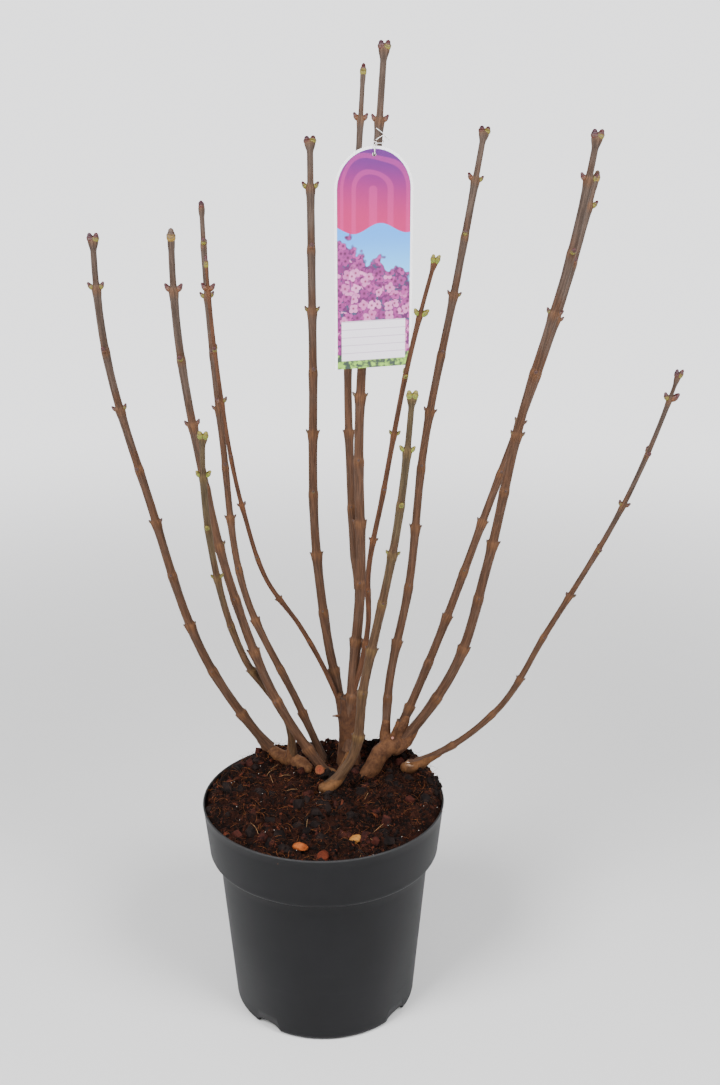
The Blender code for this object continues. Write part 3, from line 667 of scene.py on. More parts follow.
# three chips big enough to be told apart: x and y in mm, length, turn, colours
BIG_CHIPS = [(36.8, -87.9, 16.0, 0.4, (0.20, 0.080, 0.018), (0.36, 0.17, 0.045)),
             (-22.4, -105.9, 17.0, 2.9, (0.17, 0.038, 0.010), (0.31, 0.085, 0.022)),
             (2.3, -115.0, 20.0, 1.2, (0.070, 0.014, 0.007), (0.125, 0.027, 0.012))]
for number, (x, y, length, turn, dark, light) in enumerate(BIG_CHIPS):
    chip = lump("chip_%d" % number, 71 + number, 0.55, 0.10, 2)
    chip.hide_render = False
    rest = Vector((x, y, 0.0)) * MM
    rest.z = soil_top(rest.x, rest.y) + 2.2 * MM
    chip.data.transform(Matrix.Translation(rest) @ Matrix.Rotation(turn, 4, "Z")
                        @ Matrix.Rotation(0.25, 4, "X") @ Matrix.Scale(length * MM, 4))
    chip.data.materials.append(matt("chip_bark_%d" % number, dark, light, 160.0))
    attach(chip, "root")

# ==== the old wood ==========================================================================
# Stumps of earlier years, cut back by the grower and half sunk in the compost. They have
# grown into one with the feet of the canes that they carry, and their bark is dull and worn.
SKIN_GRAIN = 0.9 * MM               # width of the meshes of the skin wrapped round a stump
SKIN_ROUNDS = 9                     # rounds of smoothing, which fill its inner corners
# each stump's limbs, as chains of (x, y, height, radius) in mm
STOOLS = {
    "stump_left": [((-76, 91, 275, 5.8), (-67, 88, 264, 7.2), (-53, 78, 260, 8.2),
                    (-39, 67, 261, 8.8), (-28, 56, 262, 8.6), (-18, 47, 260, 5.6)),
                   ((-38.5, 64, 296, 4.4), (-39, 64, 277, 5.6), (-40, 64, 264, 7.4))],
    "stump_centre": [((28, 64, 250, 16.0), (28, 64, 273, 13.2), (28, 62, 292, 11.4),
                      (27, 60, 314, 10.2), (27, 60, 332, 8.6), (26, 60, 341, 7.2)),
                     ((26, 64, 308, 7.6), (22, 67, 325, 6.6), (18.5, 68, 342, 5.4)),
                     ((31, 58, 300, 9.0), (33, 56, 330, 7.0), (34, 56, 352, 6.0)),
                     ((18, 58, 322, 2.4), (13, 57, 323, 1.7), (9.5, 56, 323, 1.2))],
    "stump_right": [((46, 40, 252, 9.0), (55, 44, 262, 10.2), (64, 48, 279, 10.4),
                     (76, 52, 288, 10.6), (83, 55, 290, 8.6)),
                    ((71, 61, 312, 5.0), (70, 59, 296, 7.0), (74, 55, 286, 7.6)),
                    ((95, 71, 312, 4.8), (89, 65, 300, 6.8), (82, 58, 289, 7.6)),
                    ((105, 60, 307, 5.6), (95, 58, 290, 7.6), (83, 54, 282, 8.2)),
                    ((79, 53, 298, 4.0), (83, 52, 311, 3.2), (85, 52, 318, 2.6))],
    "stump_front": [((0.5, -4, 263, 6.4), (7, -3, 263.5, 6.9), (15, 0, 270, 6.8),
                     (25, 4, 286, 6.4), (30, 5, 300, 5.6)),
                    ((-5, 31, 267, 5.8), (0, 36, 262, 7.0), (8, 38, 257, 7.5))],
    "stump_outer": [((94, 47, 261.5, 6.6), (100, 47, 261, 7.0), (111, 47, 265, 6.2),
                     (122, 48, 273, 5.0), (133, 47, 280, 4.2))],
}
# each stump's ground colours, darker and lighter
STOOL_BARK = {
    "stump_left": ((0.050, 0.0190, 0.0080), (0.125, 0.0560, 0.0230)),
    "stump_centre": ((0.034, 0.0135, 0.0065), (0.072, 0.0300, 0.0130)),
    "stump_right": ((0.044, 0.0170, 0.0070), (0.108, 0.0460, 0.0190)),
    "stump_front": ((0.054, 0.0230, 0.0080), (0.118, 0.0520, 0.0180)),
    "stump_outer": ((0.054, 0.0220, 0.0080), (0.118, 0.0500, 0.0180)),
}


def wrapped(name, chains):
    """One closed skin round every chain, a smooth fillet filling each fork."""
    bm = bmesh.new()
    for chain in chains:
        for first, second in zip(chain, chain[1:]):
            steps = max(2, round(math.dist(first[:3], second[:3]) / 1.6))
            for share in np.linspace(0.0, 1.0, steps + 1):
                x, y, z, radius = (np.array(first) * (1 - share) + np.array(second) * share) * MM
                bmesh.ops.create_icosphere(bm, subdivisions=3, radius=radius,
                                           matrix=Matrix.Translation((x, y, z)))
    obj = link_object(name, mesh_from(bm, name, 180.0))
    skin = obj.modifiers.new("skin", "REMESH")
    skin.mode = "VOXEL"
    skin.voxel_size = SKIN_GRAIN
    soften = obj.modifiers.new("soften", "SMOOTH")
    soften.iterations = SKIN_ROUNDS
    settle(obj)
    mesh = obj.data
    bpy.data.objects.remove(obj)
    return mesh


def weathering_tree():
    """Raises knobs and grain on a skin, along its normals."""
    tree, given = geometry_tree("weathering", [("Relief", "Float", 0.001),
                                               ("Finish", "Material", None)])
    entry = given["Geometry"]
    place = entry.node("GeometryNodeInputPosition")
    knobs = entry.noise(place, 85.0, 3.0, 0.5)
    grain = entry.noise(entry.vector("MULTIPLY", place, (420.0, 420.0, 110.0)), 1.0, 4.0, 0.6)
    lift = ((knobs - 0.5) * 1.2 + (grain - 0.5) * 0.7) * given["Relief"]
    move = entry.node("GeometryNodeInputNormal").scaled(lift)
    raised = entry.node("GeometryNodeSetPosition", {}, {"Geometry": entry, "Offset": move})
    soft = entry.node("GeometryNodeSetShadeSmooth", {}, {"Geometry": raised})
    close_tree(tree, soft, given["Finish"])
    return tree


def old_bark(name, dark, light):
    """Worn bark: blotched, faintly streaked upwards, with dark cracks."""
    material, wire, shader = start_material(name, Specular_IOR_Level=0.2)
    place = wire.own_place()
    streaks = wire.noise(wire.stretched(place, 700.0, 160.0), 1.0, 6.0, 0.65)
    blotch = wire.noise(place, 95.0, 5.0, 0.65)
    crack = wire.noise(wire.stretched(place, 380.0, 120.0), 1.0, 4.0, 0.6).ramp(0.40, 0.33)
    brown = blotch.ramp(0.34, 0.66).mix(dark, light)
    lit = (streaks.ramp(0.50, 0.72) * 0.40).mix(brown, np.array(light) * 1.5)
    feed(shader, "Base Color", (crack * 0.6).mix(lit, np.array(dark) * 0.4))
    feed(shader, "Roughness", 0.70 + 0.18 * streaks)
    feed_bump(shader, streaks * 0.8 + blotch * 0.5 - crack * 0.4, 0.35 * MM)
    return material


weathering = weathering_tree()
for name, chains in STOOLS.items():
    body = run_tree(name + "_bark", wrapped(name + "_skin", chains), weathering,
                    Relief=1.1 * MM, Finish=old_bark("old_bark_" + name, *STOOL_BARK[name]))
    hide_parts(name)
    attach(body, "root")

# ==== the saw cuts ==========================================================================
# Where the grower took whole stems off: flat or slightly dished faces of bare wood, darker
# with age, each ringed by the roll of bark that is closing over it.
Cut = namedtuple("Cut", "place facing radius heart rim")
CUT_STEPS = 24
DARK_WOOD = (0.028, 0.014, 0.009)
CUTS = [
    Cut((-5.0, 25.4, 270.0), (0.0, -0.88, 0.47), 4.7, (0.20, 0.040, 0.012), (0.17, 0.050, 0.016)),
    Cut((78.5, 46.4, 300.0), (0.1, -0.92, 0.38), 2.0, (0.42, 0.20, 0.15), (0.070, 0.018, 0.008)),
    Cut((99.0, 45.8, 267.6), (0.0, -0.30, 0.95), 5.2, (0.62, 0.46, 0.36), (0.16, 0.085, 0.045)),
    Cut((25, 60, 345.6), (-0.05, -0.10, 1.0), 5.6, DARK_WOOD, (0.050, 0.026, 0.015)),
    Cut((85.8, 51.6, 320.4), (0.2, -0.2, 0.96), 2.2, DARK_WOOD, (0.060, 0.030, 0.016)),
]


def cut_face(bm, cut, colours):
    """A dished disc with a rolled rim, closed behind, whose verts carry their colour."""
    facing = Vector(cut.facing).normalized()
    side = facing.cross(Vector((0.3, 0.2, 1.0))).normalized()
    other = facing.cross(side)
    centre = Vector(cut.place) * MM
    profile = [(0.0, 0.10), (0.35, 0.06), (0.62, 0.10), (0.80, 0.20), (0.92, 0.30),
               (1.04, 0.26), (1.14, 0.08), (1.18, -0.25), (1.05, -0.60)]
    rings = []
    for share, lift in profile[1:]:
        ring = []
        for step in range(CUT_STEPS):
            angle = math.tau * step / CUT_STEPS
            wobble = 1.0 + 0.05 * math.sin(3 * angle + cut.radius) \
                + 0.03 * math.sin(7 * angle)
            spot = centre + (side * math.cos(angle) + other * math.sin(angle)) \
                * cut.radius * MM * share * wobble + facing * lift * 0.45 * cut.radius * MM
            ring.append(bm.verts.new(spot))
            colours.append(cut.heart if share < 0.7 else cut.rim)
        rings.append(ring)
    front = bm.verts.new(centre + facing * 0.05 * cut.radius * MM)
    colours.append(tuple(0.6 * c for c in cut.heart))
    back = bm.verts.new(centre - facing * 0.3 * cut.radius * MM)
    colours.append(cut.rim)
    bridge(bm, rings)
    fan(bm, front, rings[0])
    fan(bm, back, rings[-1])


bare_wood, wire, shader = start_material("bare_wood", Roughness=0.75, Specular_IOR_Level=0.3)
place = wire.own_place()
checks = wire.noise(place, 900.0, 4.0, 0.6)
dealt = wire.attribute("dealt", "Color")
feed(shader, "Base Color", (checks.ramp(0.40, 0.62) * 0.8).mix(
    dealt, dealt.times(rgba((0.50, 0.45, 0.42)))))
feed_bump(shader, checks, 0.3 * MM)

bm = bmesh.new()
colours = []
for cut in CUTS:
    cut_face(bm, cut, colours)
cuts = link_object("saw_cuts", mesh_from(bm, "saw_cuts", 60.0), bare_wood)
carry(cuts.data, "dealt", [rgba(colour) for colour in colours])
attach(cuts, "root")

# ==== the canes =============================================================================
# Last years' shoots, each a straight grey-brown rod, warmer and darker lower down. Pairs of
# leaf scars cross each other all the way up, and the rod swells into a shelf under each.
DEPTH_LAW = 1.3
SPINE_STEPS = 240
NODE_SHIFT = 4 * MM
BUD_LENGTH_LOW = 2.0 * MM
BUD_LENGTH_HIGH = 9 * MM
TWIN_BUD_LENGTH = 7.5 * MM
NECK = 0.84                         # how much thinner a cane is above its top pair
TIP_BUD_LENGTH = 13 * MM
FOOT_FLARE = 0.4
FLARE_REACH = 30 * MM
FORK_DEPTH = 34 * MM                # a side shoot's wood reaches this far down its carrier
SEED = 11
RING_STEP = 1.5 * MM
CANE_FACES = 22
SHELF_SHARE = 0.26                  # how far a shelf stands out, as a share of the radius
TOP_SHELF_SHARE = 0.35
WARM_FROM = 60 * MM                 # from the tip, where the bark starts to turn warmer
WARM_OVER = 260 * MM
BARK_RELIEF = 0.0055 * MM           # for a tip 1 mm across; it grows with the square of that
Cane = namedtuple("Cane", "name foot bends tip wide first gap turn bud carrier bark")
CANES = [
    Cane("cane_left_outer", (-66, 88, 266), ((-125, 360), (-190, 590), (-223, 765)),
         (-224, 10, 875), (11.0, 7.2), 56, 66, 0, "twin", "stump_left", "grey"),
    Cane("cane_left_second", (10, 37, 250), ((-43, 336), (-98, 500), (-125, 655), (-139, 800)),
         (-138, -50, 885), (11.0, 7.2), 60, 70, 0, "single", None, "grey"),
    Cane("cane_left_short", (-38, 64, 264), ((-40, 305), (-87, 410), (-113, 565)),
         (-109, -100, 700), (8.5, 6.2), 56, 69, 0, "twin", "stump_left", "green"),
    Cane("cane_left_third", (0, 80, 250), ((-30, 320), (-91, 449), (-117, 632), (-133, 798)),
         (-138, 210, 890), (9.0, 6.4), 48, 62, 1, "twin", None, "grey"),
    Cane("cane_left_whip", (16, 68, 338), ((-27, 432), (-62, 487), (-86, 570), (-108, 728)),
         (-115, 30, 850), (5.8, 4.0), 34, 60, 0, "single", "cane_centre_left", "red"),
    Cane("cane_centre_left", (24, 68, 280), ((19, 328), (4, 405), (-9, 510), (-12, 715)),
         (-15, 220, 960), (11.0, 8.4), 57, 69, 0, "twin", "stump_centre", "grey"),
    Cane("cane_centre_back", (35, 60, 516), ((31, 600), (28, 710), (40, 950)),
         (45, 140, 1035), (10.0, 5.8), 56, 81, 0, "single", "cane_centre_tall", "grey"),
    Cane("cane_centre_tall", (28, 57, 280), ((33, 372), (41, 473), (40, 655), (58, 945)),
         (65, 30, 1055), (12.5, 7.5), 74, 71, 0, "twin", "stump_centre", "grey"),
    Cane("cane_right_thin", (40, 50, 380), ((50, 443), (50, 510), (65, 613), (92, 787)),
         (110, -130, 870), (6.3, 4.6), 65, 69, 0, "twin", "cane_centre_tall", "red"),
    Cane("cane_front_short", (2, 2, 258), ((28, 292), (45, 394), (80, 601)),
         (91, -100, 740), (11.5, 6.8), 65, 58, 0, "twin", "stump_front", "green"),
    Cane("cane_right_back", (71, 61, 285), ((74, 350), (97, 470), (113, 620), (150, 805)),
         (182, 230, 970), (10.0, 8.0), 61, 66, 0, "twin", "stump_right", "grey"),
    Cane("cane_right_main", (82, 60, 280), ((150, 390), (179, 510), (208, 686), (248, 862)),
         (264, -40, 975), (11.8, 7.5), 47, 67, 0, "twin", "stump_right", "grey"),
    Cane("cane_right_second", (86, 74, 293), ((131, 406), (176, 532), (273, 815)),
         (301, 170, 925), (10.0, 7.2), 38, 60, 0, "single", "stump_right", "grey"),
    Cane("cane_right_outer", (98, 51, 264), ((135, 283), (194, 341), (243, 449), (313, 627)),
         (343, -100, 760), (7.8, 4.3), 33, 62, 0, "twin", "stump_outer", "grey"),
]


def limb_tree():
    """Sweeps a round skin along a line of points, and raises the bark's relief on it."""
    tree, given = geometry_tree("limb", [
        ("Sides", "Int", 20), ("Relief", "Float", 0.0002), ("Grain Across", "Float", 300.0),
        ("Grain Along", "Float", 40.0), ("Finish", "Material", None)])
    entry = given["Geometry"]
    line = entry.node("GeometryNodeMeshToCurve", {}, {0: entry})
    hoop = entry.node("GeometryNodeCurvePrimitiveCircle", {},
                      {"Resolution": given["Sides"], "Radius": 1.0})
    spot = entry.node("GeometryNodeInputPosition")
    marked = entry.node("GeometryNodeStoreNamedAttribute",
                        {"data_type": "FLOAT_VECTOR", "domain": "POINT"},
                        {"Geometry": hoop, "Name": "around", "Value": spot})
    skin = entry.node("GeometryNodeCurveToMesh", {},
                      {"Curve": line, "Profile Curve": marked,
                       "Scale": named(entry, "girth"), "Fill Caps": True})
    around = named(entry, "around", "FLOAT_VECTOR").scaled(named(entry, "girth"))
    rise = entry.upward(0.0, named(entry, "along"))
    grain = entry.vector("ADD", around, rise)
    grained = entry.node("GeometryNodeStoreNamedAttribute",
                         {"data_type": "FLOAT_VECTOR", "domain": "POINT"},
                         {"Geometry": skin, "Name": "grain", "Value": grain})
    spread = entry.upward(given["Grain Across"], given["Grain Along"])
    grain_place = entry.vector("MULTIPLY", named(entry, "grain", "FLOAT_VECTOR"), spread)
    rough = entry.noise(grain_place, 1.0, 2.0, 0.5)
    outward = entry.node("GeometryNodeInputNormal")
    facing = entry.vector("DOT_PRODUCT", outward,
                          named(entry, "shelf_side", "FLOAT_VECTOR"), "Value")
    shelf = entry.math("ABSOLUTE", facing) ** 3.0 * named(entry, "shelf")
    lift = (rough - 0.5) * given["Relief"] + shelf
    raised = entry.node("GeometryNodeSetPosition", {},
                        {"Geometry": grained, "Offset": outward.scaled(lift)})
    soft = entry.node("GeometryNodeSetShadeSmooth", {}, {"Geometry": raised})
    close_tree(tree, soft, given["Finish"])
    return tree


def line_mesh(name, places, **layers):
    """A chain of points, each with the named numbers or vectors that the tree reads."""
    mesh = bpy.data.meshes.new(name)
    mesh.from_pydata([tuple(p) for p in places],
                     [(k, k + 1) for k in range(len(places) - 1)], [])
    for label, values in layers.items():
        carry(mesh, label, values)
    return mesh


def smooth_path(places, count):
    """A smooth curve through every place, its slope at each from the two legs that meet."""
    pairs = list(zip(places, places[1:]))
    legs = [(b - a).length for a, b in pairs]
    rates = [(b - a) / leg for (a, b), leg in zip(pairs, legs)]
    slopes = [(rates[i - 1] * legs[i] + rates[i] * legs[i - 1]) / (legs[i - 1] + legs[i])
              for i in range(1, len(legs))]
    slopes = [2 * rates[0] - slopes[0]] + slopes + [2 * rates[-1] - slopes[-1]]
    ends = np.cumsum([0.0] + legs)
    curve = []
    for along in np.linspace(0.0, ends[-1], count):
        leg = min(len(legs) - 1, int(np.searchsorted(ends, along, side="right")) - 1)
        t = (along - ends[leg]) / legs[leg]
        swing = slopes[leg] * (t * (1 - t) ** 2) - slopes[leg + 1] * (t * t * (1 - t))
        curve.append(places[leg].lerp(places[leg + 1], smooth(t)) + swing * legs[leg])
    return curve


def cane_path(cane):
    """From the foot, through the bends, to the tip; the depth at a bend follows DEPTH_LAW."""
    foot = Vector(cane.foot) * MM
    tip = Vector(cane.tip) * MM
    flat = [(foot.x, foot.z)] + [(x * MM, z * MM) for x, z in cane.bends] + [(tip.x, tip.z)]
    legs = [math.dist(a, b) for a, b in zip(flat, flat[1:])]
    shares = np.cumsum([0.0] + legs) / sum(legs)
    places = [Vector((x, foot.y + (tip.y - foot.y) * share ** DEPTH_LAW, z))
              for (x, z), share in zip(flat, shares)]
    return smooth_path(places, SPINE_STEPS)


def sideways(side, front, angle):
    """The direction at an angle round a limb, between its two cross directions."""
    return side * math.cos(angle) + front * math.sin(angle)


class Spine:
    """A limb's centre line, measured from its last point, with a side that never twists."""

    def __init__(self, points):
        self.points = list(reversed(points))
        self.lengths = [0.0]
        for a, b in zip(self.points, self.points[1:]):
            self.lengths.append(self.lengths[-1] + (b - a).length)
        self.sides = []
        side = Vector((1, 0, 0))
        for index in range(len(self.points)):
            tangent = self.tangent(index)
            side = (side - tangent * side.dot(tangent)).normalized()
            self.sides.append(side)

    @property
    def length(self):
        return self.lengths[-1]

    def tangent(self, index):
        """Direction towards the last point of the limb, its tip."""
        low = max(0, index - 1)
        high = min(len(self.points) - 1, index + 1)
        return (self.points[low] - self.points[high]).normalized()

    def at(self, distance):
        """Place, direction and two cross directions at a distance from the tip."""
        distance = min(self.length, max(0.0, distance))
        index = max(0, min(len(self.lengths) - 2,
                           int(np.searchsorted(self.lengths, distance)) - 1))
        leg = self.lengths[index + 1] - self.lengths[index]
        share = (distance - self.lengths[index]) / leg
        place = self.points[index].lerp(self.points[index + 1], share)
        tangent = self.tangent(index).lerp(self.tangent(index + 1), share).normalized()
        side = self.sides[index].lerp(self.sides[index + 1], share)
        side = (side - tangent * side.dot(tangent)).normalized()
        return place, tangent, side, tangent.cross(side)


def joined_path(cane, carrier):
    """The path of a side shoot, carried on down into the middle of what it grows from."""
    path = cane_path(cane)
    level = path[0].z - FORK_DEPTH
    nearest = min(carrier.points, key=lambda point: abs(point.z - level))
    lead = [nearest.lerp(path[0], share / 10) for share in range(10)]
    return lead + path


def bud_pairs(cane, length, draw):
    """(distance from the tip, angle round the cane, bud length) of each pair but the end's."""
    pairs = []
    distance = cane.first * MM
    angle = cane.turn * math.pi / 2
    while distance < length - FLARE_REACH:
        worn = math.sqrt(distance / length)
        pairs.append((distance, angle,
                      BUD_LENGTH_HIGH + (BUD_LENGTH_LOW - BUD_LENGTH_HIGH) * worn))
        distance += cane.gap * MM + draw.uniform(-NODE_SHIFT, NODE_SHIFT)
        angle += math.pi / 2
    return pairs


def cane_radius(cane, share):
    """Plain radius of a cane at a share of its length from the tip."""
    foot, tip = cane.wide
    return (tip + (foot - tip) * share) / 2 * MM


def foot_flare(height):
    """How much thicker a cane is, this far above its foot, than its taper gives."""
    return 1 + FOOT_FLARE * max(0.0, 1 - height / FLARE_REACH) ** 2


def eased(value, stops):
    """A smooth reading between (place, value) stops."""
    if value <= stops[0][0]:
        return stops[0][1]
    for (a, first), (b, second) in zip(stops, stops[1:]):
        if value <= b:
            return first + (second - first) * smooth((value - a) / (b - a))
    return stops[-1][1]


# how thick a cane is, against its plain taper, at mm below its end or past a pair of buds
TWIN_END = ((5.5, 0.40), (7.0, 0.90), (9.0, 1.18), (12.0, 1.14), (21.0, NECK))
SINGLE_END = ((5.0, 0.5), (9.0, 0.80), (12.5, 1.0), (16.0, 0.98), (24.0, NECK))
PAIR_SHAPE = ((-6.0, 0.0), (-2.0, 0.03), (1.0, 0.13), (4.0, 0.16), (12.0, 0.08), (28.0, 0.0))
PAIR_SHELF = ((-2.5, 0.0), (-0.3, 0.7), (1.5, 1.0), (4.5, 0.45), (14.0, 0.0))
PAIR_KNOT = ((-4.0, 0.0), (-0.5, 1.0), (2.0, 1.0), (11.0, 0.0))
GIRTH = 1.02                        # a round rod against the flats of the model's cane
WARM_ABOVE_PAIR = ((-30.0, 0.0), (-6.0, 1.0), (0.0, 0.5), (14.0, 0.0))


def cane_bark(name, kind):
    """Bark that follows the rod: streaked, dotted with pale pores, orange at the scars."""
    material, wire, shader = start_material(name, Specular_IOR_Level=0.22)
    grain = wire.attribute("grain", "Vector")
    warm = wire.attribute("warm")
    knot = wire.attribute("knot")
    streaks = wire.noise(wire.stretched(grain, 620.0, 42.0), 1.0, 3.0, 0.55)
    blotch = wire.noise(wire.stretched(grain, 160.0, 45.0), 1.0, 4.0, 0.6)
    pores = wire.node("ShaderNodeTexVoronoi", {"feature": "F1"},
                      {"Vector": wire.stretched(grain, 520.0, 210.0), "Scale": 1.0})
    pore = pores.ramp(0.17, 0.10)
    cool, russet, amber = {
        "grey": ((0.060, 0.040, 0.0300), (0.064, 0.0290, 0.0145), (0.110, 0.047, 0.0170)),
        "green": ((0.060, 0.041, 0.0200), (0.062, 0.0310, 0.0145), (0.098, 0.058, 0.0180)),
        "red": ((0.070, 0.029, 0.0140), (0.064, 0.0250, 0.0110), (0.110, 0.043, 0.0150)),
    }[kind]
    drift = (warm + (blotch - 0.5) * 0.9).ramp(0.12, 0.88)
    ground = drift.mix(cool, russet)
    shoulder = (knot * (0.12 + 0.62 * blotch)).mix(ground, amber)
    shade = shoulder.times(streaks.ramp(0.34, 0.66)
                           .mix((0.66, 0.64, 0.62), (1.28, 1.28, 1.28)))
    feed(shader, "Base Color", (pore * 0.35).mix(shade, (0.15, 0.10, 0.065)))
    feed(shader, "Roughness", 0.62 + 0.2 * streaks)
    feed_bump(shader, streaks * 0.8 + pore * 0.6 + blotch * 0.6, 0.28 * MM)
    return material


barks = {kind: cane_bark("cane_bark_" + kind, kind) for kind in ("grey", "green", "red")}
limb = limb_tree()
grown = {}
for number, cane in enumerate(CANES):
    spine = Spine(cane_path(cane))
    grown[cane.name] = (cane, spine, bud_pairs(cane, spine.length, random.Random(SEED + number)))
for cane, spine, pairs in grown.values():
    if cane.carrier in grown:
        spine = Spine(joined_path(cane, grown[cane.carrier][1]))
    ends = TWIN_END if cane.bud == "twin" else SINGLE_END
    marks = np.arange(ends[0][0] * MM, spine.length, RING_STEP)
    near = [min(pairs, key=lambda pair: abs(pair[0] + 2 * MM - mark)) for mark in marks]
    places, girths, shelves, sides, warms, knots = [], [], [], [], [], []
    for mark, (node, angle, _) in zip(marks, near):
        place, tangent, side, front = spine.at(mark)
        past = (mark - node) / MM
        plain = cane_radius(cane, mark / spine.length) * foot_flare(spine.length - mark)
        below_top_pair = smooth((mark / MM - cane.first + 6) / 8)
        swell = eased(mark / MM, ends) * (1 + (1 / NECK - 1) * below_top_pair) \
            + eased(past, PAIR_SHAPE)
        outward = sideways(side, front, angle)
        shelf = plain * SHELF_SHARE * eased(past, PAIR_SHELF)
        if cane.bud == "twin" and mark < 20 * MM:
            outward = sideways(side, front, cane.turn * math.pi / 2)
            shelf = plain * TOP_SHELF_SHARE * eased(mark / MM, ((3, 0), (8, 1), (18, 0)))
        low = smooth((mark - WARM_FROM) / WARM_OVER)
        places.append(place)
        girths.append(plain * swell * GIRTH)
        shelves.append(shelf)
        sides.append(outward)
        warms.append(0.10 + 0.62 * low + 0.34 * eased(past, WARM_ABOVE_PAIR))
        knots.append(max(eased(past, PAIR_KNOT),
                         eased(mark / MM, ((6, 1), (16, 0))) if cane.bud == "twin" else 0.0))
    rod = run_tree(cane.name + "_bark", line_mesh(
        cane.name + "_line", places, girth=girths, along=list(marks), shelf=shelves,
        shelf_side=sides, warm=warms, knot=knots), limb, Sides=CANE_FACES,
        Relief=BARK_RELIEF * cane.wide[1] ** 2, Grain_Across=330.0, Grain_Along=40.0,
        Finish=barks[cane.bark])
    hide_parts(cane.name)
    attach(rod, "root")

# ==== the buds ==============================================================================
# Fat winter buds in overlapping pairs of scales: two at the end of most canes, one at the
# end of the others, and a pair at every leaf scar, smaller and duller further down.
BUD_SIDES = 12
BUD_SEED = 300
Point = namedtuple("Point", "place up out size base point")
OLIVE = (0.150, 0.125, 0.008)
LIME = (0.165, 0.200, 0.012)
WINE = (0.048, 0.006, 0.008)
PLUM = (0.034, 0.006, 0.014)
RUST = (0.110, 0.036, 0.010)
DULL = (0.058, 0.030, 0.016)
AMBER = (0.190, 0.110, 0.010)
GREEN_TIPPED = ("cane_front_short", "cane_left_short", "cane_right_thin")


def bud_shape():
    """One bud, base at the origin and point at +Z, with two pairs of scales modelled."""
    bm = bmesh.new()
    # height, radius, how far the scale edges rise and fall, which pair, how near an edge
    rows = [(-0.10, 0.30, 0.0, 0, 0.0), (0.02, 0.40, 0.0, 0, 0.0), (0.18, 0.50, 0.02, 0, 0.0),
            (0.40, 0.50, 0.11, 0, 1.0), (0.41, 0.45, 0.11, 0, 1.0), (0.52, 0.46, 0.05, 1, 0.0),
            (0.68, 0.40, 0.07, 1, 1.0), (0.69, 0.35, 0.07, 1, 1.0), (0.84, 0.28, 0.02, 0, 0.0),
            (0.94, 0.16, 0.0, 0, 0.3)]
    rings, near_edge = [], []
    for height, radius, wave, pair, edge in rows:
        ring = []
        for step in range(BUD_SIDES):
            angle = math.tau * step / BUD_SIDES
            lift = wave * math.cos(2 * angle + pair * math.pi)
            ring.append(bm.verts.new((radius * math.cos(angle), radius * math.sin(angle),
                                      height + lift)))
            near_edge.append(edge)
        rings.append(ring)
    bridge(bm, rings)
    fan(bm, bm.verts.new((0, 0, 1.0)), rings[-1])
    near_edge.append(0.4)
    bm.faces.new(list(reversed(rings[0])))
    heights = [vert.co.z for vert in bm.verts]
    mesh = mesh_from(bm, "bud_shape", 180.0)
    carry(mesh, "rise", heights)
    carry(mesh, "edge", near_edge)
    obj = link_object("bud_shape", mesh)
    obj.hide_render = True
    return obj


def bud_tree():
    """Sets one bud on every point, along its own two directions and at its own size."""
    tree, given = geometry_tree("buds_on_points", [("Shape", "Object", None),
                                                   ("Finish", "Material", None)])
    entry = given["Geometry"]
    turn = entry.node("FunctionNodeAxesToRotation",
                      {"primary_axis": "Z", "secondary_axis": "X"},
                      {"Primary Axis": named(entry, "up", "FLOAT_VECTOR"),
                       "Secondary Axis": named(entry, "out", "FLOAT_VECTOR")})
    shape = entry.node("GeometryNodeObjectInfo", {}, {"Object": given["Shape"]}, "Geometry")
    set_out = entry.node("GeometryNodeInstanceOnPoints", {},
                         {"Points": entry, "Instance": shape, "Rotation": turn,
                          "Scale": named(entry, "size", "FLOAT_VECTOR")})
    close_tree(tree, set_out, given["Finish"])
    return tree


def faded(colour, dull, share):
    """A colour, brought this much of the way up from the dull one."""
    return tuple(dull + (np.array(colour) - dull) * share)


def side_buds(cane, spine, pairs, draw):
    """The pairs along a cane, the upper ones in colour and the lower ones weathered."""
    points = []
    for count, (distance, angle, length) in enumerate(pairs):
        place, tangent, side, front = spine.at(distance)
        plain = cane_radius(cane, distance / spine.length)
        fresh = max(0.0, 1.0 - count / 4.5)
        for facing in (0.0, math.pi):
            turn = angle + facing + draw.uniform(-0.12, 0.12)
            outward = sideways(side, front, turn)
            long = length * draw.uniform(1.05, 1.32)
            lean = draw.uniform(0.50, 0.78)
            wide = long * (0.60 + 0.08 * fresh) + 0.5 * MM
            if cane.name in GREEN_TIPPED and count < 3:
                base, point = LIME, OLIVE
            elif draw.random() < 0.45:
                base, point = OLIVE, WINE
            else:
                base, point = RUST, WINE
            base = faded(base, np.array(DULL), 0.35 + 0.65 * fresh)
            point = faded(point, np.array(DULL) * 0.8, 0.3 + 0.7 * fresh)
            up = (tangent + outward * lean).normalized()
            spot = place + outward * plain * 1.10 - tangent * 1.5 * MM
            points.append(Point(spot, up, outward, (wide * 0.85, wide, long), base, point))
    return points


